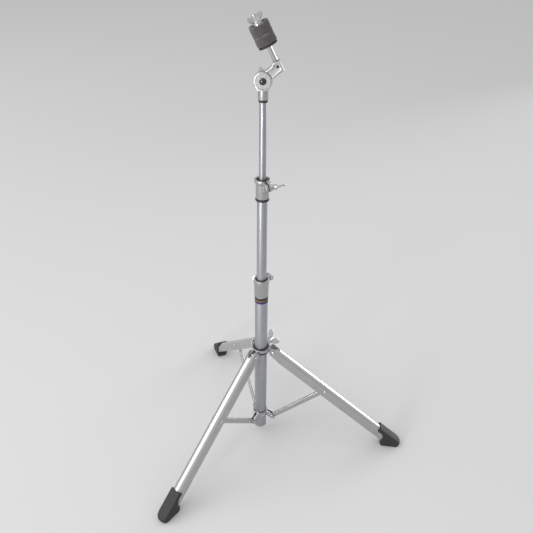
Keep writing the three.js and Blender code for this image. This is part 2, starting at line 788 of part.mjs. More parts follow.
// A flat ring of radial face teeth that point along Z, their crests at zero height
function toothedRing(depthBelow) {
  const steps = 2 * teeth.count;
  const corners = [];
  const faces = [];
  for (let i = 0; i < steps; i += 1) {
    const turn = (i * halfTurn) / teeth.count;
    const top = i % 2 === 0 ? 0 : -teeth.depth;
    for (const [radius, height] of [
      [teeth.inner, -depthBelow], [teeth.outer, -depthBelow], [teeth.outer, top], [teeth.inner, top]]) {
      corners.push(radius * Math.cos(turn), radius * Math.sin(turn), height);
    }
    const [here, next] = [4 * i, 4 * ((i + 1) % steps)];
    for (let side = 0; side < 4; side += 1) {
      const [a, b] = [here + side, here + ((side + 1) % 4)];
      const [c, d] = [next + side, next + ((side + 1) % 4)];
      faces.push(a, d, b, a, c, d);
    }
  }
  const geometry = new THREE.BufferGeometry();
  geometry.setAttribute("position", new THREE.Float32BufferAttribute(corners, 3));
  geometry.setIndex(faces);
  return geometry;
}

const halfSlack = slack / 2;
const toothFloor = halfSlack + teeth.depth + overrun / 2;

// Lower half: a disc on a neck, with a sloped facet between them
function tilterBaseGeometry() {
  const neckTop = -tilter.discRadius - slack * 2;
  const neckBottom = -tilter.pivotRise;
  const flare = tilter.discRadius * tilter.flareStartShare;
  const flareHalf = Math.sqrt(tilter.discRadius ** 2 - flare ** 2);
  const face = new THREE.Shape();
  const startAngle = Math.atan2(-flare, flareHalf);
  face.moveTo(-tilter.neckRadius, neckTop);
  face.lineTo(tilter.neckRadius, neckTop);
  face.lineTo(flareHalf, -flare);
  face.absarc(0, 0, tilter.discRadius, startAngle, halfTurn - startAngle, false);
  const toothRoot = -halfSlack - teeth.depth;
  const slab = plateBetween(face, -tilter.neckRadius, toothRoot, smallSides);
  const neck = revolved([
    [topTube.outer / 2 + slack, neckBottom], [tilter.neckRadius - tilter.neckRound, neckBottom],
    [tilter.neckRadius, neckBottom + tilter.neckRound], [tilter.neckRadius, neckTop],
    [0, neckTop], [0, neckBottom + tilter.neckBore], [topTube.outer / 2 + slack, neckBottom + tilter.neckBore],
  ]);
  const facetTop = -tilter.discRadius * tilter.facetTopShare;
  const front = -tilter.frontThickness;
  const ahead = -tilter.neckRadius - overrun;
  const above = tilter.discRadius + overrun;
  const relief = new THREE.ExtrudeGeometry(
    polygon([[ahead, above], [front, above], [front, facetTop], [-tilter.neckRadius, neckTop], [ahead, neckTop]]),
    { depth: 4 * tilter.discRadius, bevelEnabled: false });
  relief.translate(0, 0, -2 * tilter.discRadius);
  const cycle = new THREE.Matrix4().makeBasis(
    new THREE.Vector3(0, 1, 0), new THREE.Vector3(0, 0, 1), new THREE.Vector3(1, 0, 0));
  relief.applyMatrix4(cycle);
  const ring = toothedRing(teeth.depth + slack).rotateX(-quarterTurn).translate(0, -halfSlack, 0);
  const boltHole = crossCylinder(tilter.boltRadius + slack, -tilter.neckRadius - overrun, overrun);
  return built([slab, neck, ring], [relief, boltHole]);
}

// Upper half: a disc behind the base and a thick block round the rod
function tilterArmGeometry() {
  const right = arm.rodOffset + arm.blockHalfWidth;
  const left = arm.rodOffset - arm.blockHalfWidth;
  const lowerTangent = Math.atan2(-arm.heelDrop, arm.heelOffset);
  const crestAngle = Math.atan2(arm.crestHeight, arm.crestOffset);
  const outline = new THREE.Shape();
  outline.moveTo(right, arm.blockBottom);
  outline.lineTo(right, arm.blockTop - arm.cornerRadius);
  outline.absarc(right - arm.cornerRadius, arm.blockTop - arm.cornerRadius, arm.cornerRadius, 0, quarterTurn, false);
  outline.lineTo(left + arm.cornerRadius, arm.blockTop);
  outline.absarc(left + arm.cornerRadius, arm.blockTop - arm.cornerRadius, arm.cornerRadius,
    quarterTurn, halfTurn, false);
  outline.bezierCurveTo(left, arm.throatHeight + arm.cornerRadius, arm.throatOffset, arm.throatHeight,
    arm.crestOffset, arm.crestHeight);
  outline.absarc(0, 0, tilter.discRadius, crestAngle, lowerTangent + 2 * halfTurn, false);
  const body = plateBetween(outline, -arm.frontThickness, tilter.backThickness, smallSides);
  const discSeat = crossCylinder(
    tilter.discRadius + 2 * slack, -arm.frontThickness - overrun, halfSlack + teeth.depth, 0, 0, roundSides);
  const rim = arm.rimWidth;
  const panelStart = tilter.discRadius - rim;
  const panel = new THREE.Shape();
  panel.moveTo(panelStart, rim - arm.heelDrop);
  panel.lineTo(right - rim, arm.blockBottom + rim);
  panel.lineTo(right - rim, arm.blockTop - rim);
  panel.lineTo(left + rim, arm.blockTop - rim);
  panel.quadraticCurveTo(left, arm.throatHeight - rim, arm.throatOffset, arm.throatHeight - rim);
  panel.lineTo(panelStart, arm.crestHeight - rim);
  const panelFloor = arm.panelDepth - arm.frontThickness;
  const recess = plateBetween(panel, -arm.frontThickness - overrun, panelFloor);
  const ring = toothedRing(teeth.depth + slack).rotateX(quarterTurn).translate(0, halfSlack, 0);
  const rodHole = cylinder(rod.radius + slack, arm.socketFloor, arm.blockTop + overrun)
    .translate(arm.rodOffset, 0, 0);
  const screwHole = crossCylinder(
    setScrew.radius + slack, -arm.frontThickness - overrun, 0, arm.rodOffset, setScrew.height);
  const boltHole = crossCylinder(tilter.boltRadius + slack, -overrun, tilter.backThickness + overrun);
  return built([built([body], [discSeat]), ring], [recess, rodHole, screwHole, boltHole]);
}

// Domed and slotted bolt along Y, its head in front of the base
function tilterBoltGeometry(end) {
  const seat = -tilter.frontThickness - slack;
  const dome = domeShares.map(([r, h]) => [r * tilter.boltHead, -seat + h * tilter.boltDome]);
  const profile = [
    [0, -end], [tilter.boltRadius, -end], [tilter.boltRadius, -seat], ...dome, [0, -seat + tilter.boltDome],
  ];
  const body = revolved(profile, smallSides).rotateX(quarterTurn);
  const slotTop = seat - tilter.boltDome;
  const slot = rectangle(-tilter.boltHead, -tilter.boltSlot / 2, tilter.boltHead, tilter.boltSlot / 2);
  return built([body], [plateBetween(slot, slotTop - overrun, slotTop + tilter.boltSlotDepth)]);
}

// Rod pieces stand on V along the rod, centred on it
function addRodPieces(group) {
  const bottom = arm.socketFloor + slack;
  const washerBottom = arm.blockTop + rod.bare;
  const lowerFeltBottom = washerBottom + seatWasher.height + slack;
  const upperFeltBottom = lowerFeltBottom + felt.height + slack;
  const feltTop = upperFeltBottom + felt.height;
  const tip = feltTop + slack + lowWing.hubHeight + rod.tipBeyondNut;
  const shoulderTop = washerBottom - slack;
  const shaft = revolved([
    [0, bottom], [rod.radius, bottom], [rod.radius, shoulderTop - rod.shoulderHeight],
    [rod.shoulderRadius, shoulderTop - rod.shoulderHeight], [rod.shoulderRadius, shoulderTop],
    [rod.radius, shoulderTop], [rod.radius, tip], [0, tip],
  ], smallSides);
  add(group, "cymbal_rod", shaft, chrome);
  const washer = hollow(rod.radius + slack, seatWasher.radius, washerBottom, washerBottom + seatWasher.height);
  add(group, "seat_washer", washer, blackNylon);
  const sleeveTop = feltTop - sleeve.shortBy;
  const tubeOnRod = hollow(rod.radius + slack, sleeve.radius, lowerFeltBottom, sleeveTop, smallSides);
  add(group, "cymbal_sleeve", tubeOnRod, blackNylon);
  const feltRing = (from) => revolved([
    [sleeve.radius + slack, from], [felt.radius - felt.edge, from], [felt.radius, from + felt.edge],
    [felt.radius, from + felt.height - felt.edge], [felt.radius - felt.edge, from + felt.height],
    [sleeve.radius + slack, from + felt.height],
  ]);
  add(group, "lower_felt", feltRing(lowerFeltBottom), greyFelt);
  add(group, "upper_felt", feltRing(upperFeltBottom), greyFelt);
  const nut = wingNut(lowWing, rod.radius).rotateZ(topWing.turn).translate(0, 0, feltTop + slack);
  add(group, "top_wing_nut", nut, chrome);
}

function addTopStage() {
  const outer = topTube.outer / 2;
  add(stand, "top_tube", tube(topTube, topTubeBottom), satinTube);
  add(stand, "top_guide", guideRing(topTube, middleTube, topTubeBottom), blackNylon);
  const head = turnedGroup(stand, tilter.facing, tilterPivotHeight);
  add(head, "tilter_base", tilterBaseGeometry(), castMetal);
  const ringTop = -tilter.pivotRise - slack;
  const ring = revolved([
    [outer + slack, ringTop - tilterRing.height],
    [outer + tilterRing.taper, ringTop - tilterRing.height],
    [tilter.neckRadius - tilterRing.bulge, ringTop - tilterRing.height / 2],
    [tilter.neckRadius - tilterRing.bulge, ringTop], [outer + slack, ringTop],
  ]);
  add(head, "tilter_ring", ring, blackNylon);
  const nutFoot = tilter.backThickness + slack;
  const boltEnd = nutFoot + tallWing.hubHeight + bolt.proud;
  add(head, "tilter_bolt", tilterBoltGeometry(boltEnd), chrome);
  const nut = wingNut(tallWing, tilter.boltRadius).rotateX(-quarterTurn).rotateY(-quarterTurn - tilter.wingTurn);
  add(head, "tilter_wing_nut", nut.translate(0, nutFoot, 0), chrome);

  // The leaning frame: X is U across the rod, Z is V along it
  const leaning = new THREE.Group();
  leaning.rotation.y = -arm.lean;
  head.add(leaning);
  add(leaning, "tilter_arm", tilterArmGeometry(), castMetal);
  const screwFront = arm.panelDepth - arm.frontThickness + setScrew.recess;
  const place = [arm.rodOffset, setScrew.height];
  const screw = crossCylinder(setScrew.radius, screwFront, -rod.radius - slack, ...place);
  const socketEnd = screwFront + setScrew.socketDepth;
  const socket = crossCylinder(setScrew.socket, screwFront - overrun, socketEnd, ...place, bolt.hexSides);
  add(leaning, "rod_set_screw", built([screw], [socket]), chrome);
  const rodFrame = new THREE.Group();
  rodFrame.position.x = arm.rodOffset;
  leaning.add(rodFrame);
  addRodPieces(rodFrame);
}

addLowerStage();
addCollar();
addLegs();
addCrown();
addMiddleStage();
addTopStage();

// The origin is on the floor, under the middle of the stand's footprint
stand.updateMatrixWorld(true);
const footprint = new THREE.Box3().setFromObject(stand, true);
stand.position.set(-(footprint.min.x + footprint.max.x) / 2, -(footprint.min.y + footprint.max.y) / 2, 0);
stand.updateMatrixWorld(true);

export default stand;
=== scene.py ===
import logging
import math
from dataclasses import dataclass
from enum import Enum
from functools import reduce
from typing import Callable

import bmesh
import bpy
from mathutils import Matrix, Vector, noise


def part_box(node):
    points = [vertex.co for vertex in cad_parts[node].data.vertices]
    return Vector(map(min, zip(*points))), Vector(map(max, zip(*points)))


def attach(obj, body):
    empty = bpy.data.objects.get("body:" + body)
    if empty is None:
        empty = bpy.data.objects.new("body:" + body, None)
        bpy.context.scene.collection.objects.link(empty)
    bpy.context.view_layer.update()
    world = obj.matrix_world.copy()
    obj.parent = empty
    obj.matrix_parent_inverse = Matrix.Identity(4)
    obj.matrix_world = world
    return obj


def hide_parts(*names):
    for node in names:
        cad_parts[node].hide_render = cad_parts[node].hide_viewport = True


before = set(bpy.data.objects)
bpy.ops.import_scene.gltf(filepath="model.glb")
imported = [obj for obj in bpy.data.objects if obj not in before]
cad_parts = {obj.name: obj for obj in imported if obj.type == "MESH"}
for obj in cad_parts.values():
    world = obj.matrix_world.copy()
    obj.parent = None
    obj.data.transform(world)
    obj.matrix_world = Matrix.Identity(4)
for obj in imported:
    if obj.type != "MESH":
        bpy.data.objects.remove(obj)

log = logging.getLogger("cymbal_stand")

Pair = tuple[float, float]
Triple = tuple[float, float, float]
Colour = tuple[float, float, float, float]
Outline = list[Pair]
Socket = bpy.types.NodeSocket
Outputs = bpy.types.bpy_prop_collection

MM = 0.001
SLACK = 0.3
SWAP_XY = Matrix(((0, 1, 0, 0), (1, 0, 0, 0), (0, 0, 1, 0), (0, 0, 0, 1)))


# Shaping

class Carve(Enum):
    """How a second form works on a first."""

    JOIN = "UNION"
    CUT = "DIFFERENCE"


def at(x: float = 0.0, y: float = 0.0, z: float = 0.0) -> Matrix:
    """A shift."""
    return Matrix.Translation((x, y, z))


def spun(degrees: float, axis: str = "Z") -> Matrix:
    """A turn round an axis."""
    return Matrix.Rotation(math.radians(degrees), 4, axis)


def arc(cx: float, cz: float, radius: float, start: float, end: float, steps: int,
        height: float | None = None) -> Outline:
    """Points along an arc.

    Args:
        cx, cz: centre of the arc.
        radius: half of its width, and of its height where height is left out.
        start, end: angles in degrees.
        steps: how many equal steps the arc has.
        height: half of the height of an oval one.

    Returns:
        The points, both ends included.
    """
    rise = radius if height is None else height
    turns = [math.radians(start + (end - start) * i / steps) for i in range(steps + 1)]
    return [(cx + radius * math.cos(t), cz + rise * math.sin(t)) for t in turns]


def bezier(p0: Pair, p1: Pair, p2: Pair, p3: Pair, steps: int) -> Outline:
    """Points along a cubic curve.

    Args:
        p0, p3: its ends.
        p1, p2: the points that it is pulled to.
        steps: how many steps it has.

    Returns:
        The points, both ends included.
    """
    points = []
    for i in range(steps + 1):
        t, s = i / steps, 1 - i / steps
        weights = (s ** 3, 3 * s * s * t, 3 * s * t * t, t ** 3)
        pull = list(zip(weights, (p0, p1, p2, p3)))
        points.append((sum(w * p[0] for w, p in pull), sum(w * p[1] for w, p in pull)))
    return points


def domed(radius: float, base: float, height: float) -> Outline:
    """Half of a dome's outline, from its rim up to the axis."""
    return arc(0, base, radius, 0, 90, 6, height)[:-1] + [(0, base + height)]


class Form:
    """A closed shape in millimetres, shaped with bmesh operators."""

    def __init__(self, bm: bmesh.types.BMesh) -> None:
        """Takes over a bmesh."""
        self.bm = bm

    @classmethod
    def turned(cls, profile: Outline, steps: int = 72) -> "Form":
        """Spins a profile of (radius, height) pairs round Z.

        Args:
            profile: a closed loop, or a chain whose two ends lie on the axis.
            steps: faces round the form.

        Returns:
            The closed form.
        """
        bm = bmesh.new()
        verts = [bm.verts.new((r, 0, z)) for r, z in profile]
        pairs = list(zip(verts, verts[1:]))
        if profile[0][0] > 0:
            pairs.append((verts[-1], verts[0]))
        edges = [bm.edges.new(pair) for pair in pairs]
        bmesh.ops.spin(bm, geom=verts + edges, cent=(0, 0, 0), axis=(0, 0, 1), dvec=(0, 0, 0),
                       angle=math.tau, steps=steps, use_merge=True, use_duplicate=False)
        return cls(bm).sealed()

    @classmethod
    def sleeve(cls, inner: float, outer: float, bottom: float, top: float,
               steps: int = 72) -> "Form":
        """A ring or tube along Z, with square ends."""
        return cls.turned([(inner, bottom), (outer, bottom), (outer, top), (inner, top)], steps)

    @classmethod
    def post(cls, radius: float, bottom: float, top: float, steps: int = 72) -> "Form":
        """A cylinder along Z."""
        return cls.turned([(0, bottom), (radius, bottom), (radius, top), (0, top)], steps)

    @classmethod
    def sawn(cls, outline: Outline, start: float, end: float) -> "Form":
        """A plate whose outline lies in XZ, drawn out along Y.

        Args:
            outline: its points.
            start, end: its faces on Y.

        Returns:
            The closed form.
        """
        bm = bmesh.new()
        face = bm.faces.new([bm.verts.new((x, start, z)) for x, z in outline])
        drawn = bmesh.ops.extrude_face_region(bm, geom=[face], use_keep_orig=True)["geom"]
        form = cls(bm)
        form.drag(drawn, (0, end - start, 0))
        return form.sealed()

    @classmethod
    def pin(cls, radius: float, start: float, end: float, x: float = 0, z: float = 0,
            steps: int = 40) -> "Form":
        """A cylinder along Y.

        Args:
            radius: of the cylinder.
            start, end: its ends on Y.
            x, z: where its axis lies.
            steps: faces round it.

        Returns:
            The closed form.
        """
        bm = bmesh.new()
        bmesh.ops.create_cone(bm, cap_ends=True, segments=steps, radius1=radius, radius2=radius,
                              depth=end - start)
        return cls(bm).moved(at(x, (start + end) / 2, z) @ spun(90, "X"))

    @classmethod
    def block(cls, low: Triple, high: Triple) -> "Form":
        """A box.

        Args:
            low, high: two opposite corners.

        Returns:
            The closed form.
        """
        bm = bmesh.new()
        bmesh.ops.create_cube(bm, size=1)
        first, last = Vector(low), Vector(high)
        size = Matrix.Diagonal((last - first).to_4d())
        return cls(bm).moved(at(*((first + last) / 2)) @ size)

    def drag(self, geom: list[object], shift: Triple) -> None:
        """Moves the vertices among some geometry."""
        verts = [g for g in geom if isinstance(g, bmesh.types.BMVert)]
        bmesh.ops.translate(self.bm, verts=verts, vec=shift)

    def sealed(self) -> "Form":
        """Merges doubles and turns every face outwards.

        Returns:
            The same form.
        """
        bmesh.ops.remove_doubles(self.bm, verts=self.bm.verts, dist=0.002)
        bmesh.ops.dissolve_degenerate(self.bm, edges=self.bm.edges, dist=0.0005)
        bmesh.ops.recalc_face_normals(self.bm, faces=self.bm.faces)
        return self

    def moved(self, matrix: Matrix) -> "Form":
        """Moves the form by a matrix."""
        bmesh.ops.transform(self.bm, matrix=matrix, verts=self.bm.verts)
        return self

    def copy(self) -> "Form":
        """A second form of the same shape."""
        return Form(self.bm.copy())

    def mesh(self, name: str) -> bpy.types.Mesh:
        """Writes the form to a new mesh.

        Args:
            name: of the mesh.

        Returns:
            The mesh.
        """
        made = bpy.data.meshes.new(name)
        self.bm.to_mesh(made)
        return made

    def carved(self, other: "Form", how: Carve) -> "Form":
        """Joins another form on, or cuts it out.

        Args:
            other: the second form, which is used up.
            how: join or cut.

        Returns:
            The result, as a new form.
        """
        objects = [bpy.data.objects.new("blank", f.mesh("blank")) for f in (self, other)]
        for obj in objects:
            bpy.context.scene.collection.objects.link(obj)
        tool = objects[0].modifiers.new("carve", "BOOLEAN")
        tool.operation, tool.object, tool.solver = how.value, objects[1], "EXACT"
        graph = bpy.context.evaluated_depsgraph_get()
        bm = bmesh.new()
        bm.from_object(objects[0], graph)
        for obj in objects:
            data = obj.data
            bpy.data.objects.remove(obj)
            bpy.data.meshes.remove(data)
        bmesh.ops.remove_doubles(bm, verts=bm.verts, dist=0.004)
        bmesh.ops.dissolve_limit(bm, angle_limit=math.radians(0.6), verts=bm.verts, edges=bm.edges)
        return Form(bm)

    def with_(self, *others: "Form") -> "Form":
        """Joins other forms on."""
        return reduce(lambda form, other: form.carved(other, Carve.JOIN), others, self)

    def without(self, *others: "Form") -> "Form":
        """Cuts other forms out."""
        return reduce(lambda form, other: form.carved(other, Carve.CUT), others, self)

    def scored(self, point: Triple, normal: Triple, near: float = 1e-3,
               clear: bool = False) -> "Form":
        """Cuts new edges where a plane crosses the form.

        Args:
            point, normal: the plane.
            near: distance within which a vertex counts as on the plane.
            clear: whether what lies past the plane goes.

        Returns:
            The same form.
        """
        geom = self.bm.verts[:] + self.bm.edges[:] + self.bm.faces[:]
        bmesh.ops.bisect_plane(self.bm, geom=geom, dist=near, plane_co=point, plane_no=normal,
                               clear_outer=clear)
        return self

    def eased(self, radius: float, segments: int = 3, angle: float = 35.0,
              where: Callable[[bmesh.types.BMEdge], bool] | None = None) -> "Form":
        """Rounds the edges that are sharper than an angle.

        Args:
            radius: width of the rounding.
            segments: faces across it.
            angle: smallest angle between two faces that counts as an edge, in degrees.
            where: test that picks the edges, all where it is left out.

        Returns:
            The same form.
        """
        limit = math.radians(angle)
        edges = [e for e in self.bm.edges if len(e.link_faces) == 2
                 and e.calc_face_angle(0) > limit and (where is None or where(e))]
        bmesh.ops.bevel(self.bm, geom=edges, offset=radius, offset_type="OFFSET",
                        segments=segments, profile=0.5, affect="EDGES", clamp_overlap=True,
                        material=-1)
        return self


def rivet(shank: float, head: float, dome: float, half_grip: float, edge: float = 0.25) -> Form:
    """A rivet along Y, with a domed head on each end.

    Args:
        shank, head: radii.
        dome: height of a head.
        half_grip: half of what it holds.
        edge: height of a head's straight rim.

    Returns:
        The rivet.
    """
    grip = half_grip + SLACK
    upper = [(shank, grip), (head, grip), *domed(head, grip + edge, dome - edge)]
    lower = [(r, -z) for r, z in reversed(upper)]
    return Form.turned(lower + upper, 32).moved(spun(90, "X"))


def blind_rivet(grip: float, shank: float = 1.6, head: float = 3.0, edge: float = 0.2,
                dome: float = 0.9) -> Form:
    """A rivet that stands on XY, its domed head on top."""
    return Form.turned([(0, 0), (shank, 0), (shank, grip), (head, grip),
                        *domed(head, grip + edge, dome)], 24)


def hex_bolt(under: float, end: float, radius: float = 3.0, head: float = 5.4,
             height: float = 3.8, recess: float = 0.5) -> Form:
    """A hexagon bolt along Y, its chamfered head at negative Y.

    Args:
        under: where the underside of the head lies.
        end: where the shank ends.
        radius: of the shank.
        head: radius over the head's corners.
        height: of the head.
        recess: depth of the round recess in it.

    Returns:
        The bolt.
    """
    hexagon = Form.pin(head, under - height, under, steps=6).eased(0.35, 2)
    dent = Form.pin(head * 0.55, under - height - 1, under - height + recess, steps=32)
    shank = Form.pin(radius, under - height / 2, end).eased(0.5, 2, 60)
    return hexagon.without(dent).with_(shank)


@dataclass(frozen=True)
class Wing:
    """Sizes of a wing nut or wing bolt that stands on XY."""

    foot: float = 5.6
    hub: float = 4.6
    hub_height: float = 11.0
    height: float = 24.0
    half_span: float = 17.0
    lobe: float = 5.6
    lobe_start: float = -20.0
    lobe_end: float = 150.0
    thickness: float = 3.2
    root: float = 1.6

    def outline(self) -> Outline:
        """Both wings and the web between them.

        Returns:
            The points, from the right wing's foot round to the left one's.
        """
        x, z, root = self.half_span - self.lobe, self.height - self.lobe, self.root
        lobe = arc(x, z, self.lobe, self.lobe_start, self.lobe_end, 14)
        under = bezier((self.foot, root), (x * 0.6, root), (x * 0.95, root + 1), lobe[0], 8)
        right = under + lobe[1:]
        waist = [(0, min(self.hub_height, z) - root)]
        return right + waist + [(-px, pz) for px, pz in reversed(right)]

    def form(self, bore: float = 0.0, shank: float = 0.0, shank_length: float = 0.0) -> Form:
        """The cast nut or bolt.

        Args:
            bore: radius of the hole, none where it is zero.
            shank: radius of a bolt's shank, none where it is zero.
            shank_length: how far the shank reaches below XY.

        Returns:
            The form.
        """
        half, foot, root = self.thickness / 2, self.foot, self.root
        wings = Form.sawn(self.outline(), -half, half).eased(1.15, 3, 50)
        hub = Form.turned([(0, 0), (foot, 0), (foot, root), (self.hub + 0.4, root + 1.2),
                           (self.hub, self.hub_height), (0, self.hub_height)], 40)
        form = hub.eased(0.5, 2, 40).with_(wings)
        if bore:
            form = form.without(Form.post(bore, -1, self.height, 32))
        if shank:
            form = form.with_(Form.post(shank, -shank_length, root, 32).eased(0.5, 2, 60))
        return form


TALL_WING = Wing()
LOW_WING = Wing(foot=7, hub=5.8, hub_height=11, height=12.5, half_span=15, lobe=4.4)


# Shader groups and finishes

class Graph:
    """A node tree with short ways to add and join nodes."""

    def __init__(self, tree: bpy.types.NodeTree) -> None:
        """Takes a tree."""
        self.tree = tree

    def feed(self, node: bpy.types.Node, inputs: dict[str | int, object]) -> bpy.types.Node:
        """Links sockets to a node's inputs, or sets the inputs to constants.

        Args:
            node: that takes the inputs.
            inputs: sockets or values, by name or number.

        Returns:
            The same node.
        """
        for key, value in inputs.items():
            if isinstance(value, Socket):
                self.tree.links.new(value, node.inputs[key])
            else:
                node.inputs[key].default_value = value
        return node

    def add(self, kind: str, inputs: dict[str | int, object] | None = None,
            **settings: object) -> bpy.types.Node:
        """Adds a node.

        Args:
            kind: the node's type name.
            inputs: values or sockets for its inputs.
            settings: the node's own properties.

        Returns:
            The node.
        """
        node = self.tree.nodes.new(kind)
        for key, value in settings.items():
            setattr(node, key, value)
        return self.feed(node, inputs or {})

    def math(self, operation: str, a: object, b: object, clamp: bool) -> Socket:
        """One step of arithmetic."""
        node = self.add("ShaderNodeMath", {0: a, 1: b}, operation=operation, use_clamp=clamp)
        return node.outputs[0]

    def plus(self, a: object, b: object, clamp: bool = False) -> Socket:
        """A sum."""
        return self.math("ADD", a, b, clamp)

    def minus(self, a: object, b: object, clamp: bool = False) -> Socket:
        """A difference."""
        return self.math("SUBTRACT", a, b, clamp)

    def times(self, a: object, b: object, clamp: bool = False) -> Socket:
        """A product."""
        return self.math("MULTIPLY", a, b, clamp)

    def remap(self, value: Socket, low: float, high: float, to_low: float = 0.0,
              to_high: float = 1.0) -> Socket:
        """Spreads a range of values over another one."""
        return self.add("ShaderNodeMapRange", {"Value": value, "From Min": low, "From Max": high,
                                               "To Min": to_low, "To Max": to_high}).outputs[0]

    def noise(self, vector: Socket, scale: float, detail: float = 3.0,
              rough: float = 0.55) -> Socket:
        """Plain noise."""
        return self.add("ShaderNodeTexNoise", {"Vector": vector, "Scale": scale, "Detail": detail,
                                               "Roughness": rough}).outputs[0]

    def stretched(self, vector: Socket, scale: Triple) -> Socket:
        """A vector scaled by axis."""
        return self.add("ShaderNodeMapping", {"Vector": vector, "Scale": scale}).outputs[0]

    def height(self, vector: Socket) -> Socket:
        """A vector's Z."""
        return self.add("ShaderNodeSeparateXYZ", {0: vector}).outputs[2]

    def mix(self, share: object, a: object, b: object) -> Socket:
        """Mixes two colours."""
        return self.add("ShaderNodeMix", {0: share, 6: a, 7: b}, data_type="RGBA").outputs[2]


def effect(wire: Callable[[Graph, Outputs], dict[str, Socket]], *inputs: str) -> bpy.types.NodeTree:
    """Makes a shader node group that reads a vector and some values and puts out values.

    Args:
        wire: fills the group from its inputs and says what goes out. It also names the group.
        inputs: names of the values it reads beside the vector.

    Returns:
        The group.
    """
    tree = bpy.data.node_groups.new(wire.__name__, "ShaderNodeTree")
    tree.interface.new_socket("Vector", in_out="INPUT", socket_type="NodeSocketVector")
    for key in inputs:
        tree.interface.new_socket(key, in_out="INPUT", socket_type="NodeSocketFloat")
    graph = Graph(tree)
    made = wire(graph, graph.add("NodeGroupInput").outputs)
    for key in made:
        tree.interface.new_socket(key, in_out="OUTPUT", socket_type="NodeSocketFloat")
    graph.add("NodeGroupOutput", made)
    return tree


def drawn_lines(g: Graph, given: Outputs) -> dict[str, Socket]:
    """Fine lines along the local axis that the vector is squeezed on.

    Args:
        g: the group's graph.
        given: the group's inputs.

    Returns:
        What the group puts out, by name.
    """
    fine, broad = g.noise(given["Vector"], 5.0, 4), g.noise(given["Vector"], 0.9, 2)
    lines = g.times(g.minus(fine, 0.5), given["Fine"])
    bands = g.times(g.minus(broad, 0.5), given["Broad"])
    return {"Streak": g.plus(lines, bands), "Height": fine}


def handling_marks(g: Graph, given: Outputs) -> dict[str, Socket]:
    """Smudges from handling and small scratches.

    Args:
        g: the group's graph.
        given: the group's inputs.

    Returns:
        What the group puts out, by name.
    """
    vector = given["Vector"]
    smudge = g.remap(g.noise(vector, 0.05, 5, 0.65), 0.38, 0.66)
    long = g.stretched(vector, (1, 1, 0.22))
    cells = g.add("ShaderNodeTexVoronoi", {"Vector": long, "Scale": 0.32},
                  feature="DISTANCE_TO_EDGE").outputs["Distance"]
    place = g.remap(g.noise(vector, 0.09, 2), 0.52, 0.6)
    scratch = g.times(g.remap(cells, 0.0, 0.012, 1, 0), place)
    return {"Smudge": smudge, "Scratch": g.times(scratch, given["Scratch"], clamp=True)}


def settled_dust(g: Graph, given: Outputs) -> dict[str, Socket]:
    """Dust that has settled on surfaces that face up.

    Args:
        g: the group's graph.
        given: the group's inputs.

    Returns:
        What the group puts out, by name.
    """
    flat = g.remap(g.height(g.add("ShaderNodeNewGeometry").outputs["Normal"]), 0.3, 1.0)
    patch = g.remap(g.noise(given["Vector"], 0.35, 6, 0.7), 0.4, 0.7, to_low=0.2)
    return {"Dust": g.times(g.times(flat, patch), given["Amount"], clamp=True)}


def cast_skin(g: Graph, given: Outputs) -> dict[str, Socket]:
    """The skin of a casting or a moulding: soft waves and a fine grain.

    Args:
        g: the group's graph.
        given: the group's inputs.

    Returns:
        What the group puts out, by name.
    """
    waves = g.times(g.noise(given["Vector"], 0.28, 2), given["Waves"])
    grain = g.times(g.noise(given["Vector"], 3.2, 3), given["Grain"])
    return {"Height": g.plus(waves, grain)}


def wool_fibre(g: Graph, given: Outputs) -> dict[str, Socket]:
    """Pressed wool: curling fibres, clumps and pale flecks.

    Args:
        g: the group's graph.
        given: the group's inputs.

    Returns:
        What the group puts out, by name.
    """
    vector, curl = given["Vector"], (3.0, 3.0, 3.0)
    bend = g.add("ShaderNodeTexNoise", {"Vector": vector, "Scale": 0.35, "Detail": 2.0})
    curled = g.add("ShaderNodeVectorMath", {0: bend.outputs["Color"], 1: curl, 2: vector},
                   operation="MULTIPLY_ADD").outputs[0]
    fibre = g.noise(g.stretched(curled, (1.0, 1.0, 0.35)), 2.1, 6, 0.75)
    fleck = g.noise(g.stretched(vector, (0.6, 0.6, 1.9)), 0.8, 4, 0.6)
    return {"Fibre": g.remap(fibre, 0.3, 0.7), "Clump": g.remap(g.noise(vector, 0.22), 0.3, 0.7),
            "Fleck": g.remap(fleck, 0.66, 0.72)}


@dataclass(frozen=True)
class Metal:
    """A metal finish.

    Attributes:
        colour, rough: of the clean metal.
        lines: strength of drawn lines.
        squeeze: scales by axis that turn noise into lines.
        smudge: roughness that smudges add.
        skin: height of a casting's waves, which take the place of lines where they aren't zero.
        dust: the most dust on a face that points up.
        bump: depth of the lines or the skin.
        scratch: strength of scratches.
    """

    colour: Triple
    rough: float
    lines: float = 0.0
    squeeze: Triple = (1, 1, 1)
    smudge: float = 0.08
    skin: float = 0.0
    dust: float = 0.04
    bump: float = 0.02
    scratch: float = 0.35


@dataclass(frozen=True)
class Moulding:
    """A black nylon or rubber finish, with the grain of its skin, its dust and the skin's depth."""

    colour: Triple
    rough: float
    grain: float = 0.5
    waves: float = 0.6
    dust: float = 0.15
    bump: float = 0.08
    wear: float = 2.1


@dataclass(frozen=True)
class Wool:
    """The felts' finish: colours, and the heights between which the nut has rubbed them brown."""

    dark: Colour = (0.040, 0.036, 0.039, 1)
    pale: Colour = (0.125, 0.115, 0.120, 1)
    clump: Colour = (0.105, 0.095, 0.097, 1)
    brown: Colour = (0.26, 0.232, 0.212, 1)
    fleck: Colour = (0.42, 0.40, 0.40, 1)
    rubbed: Pair = (12.5, 16.5)
    dust: float = 0.3
    nap: float = 0.35


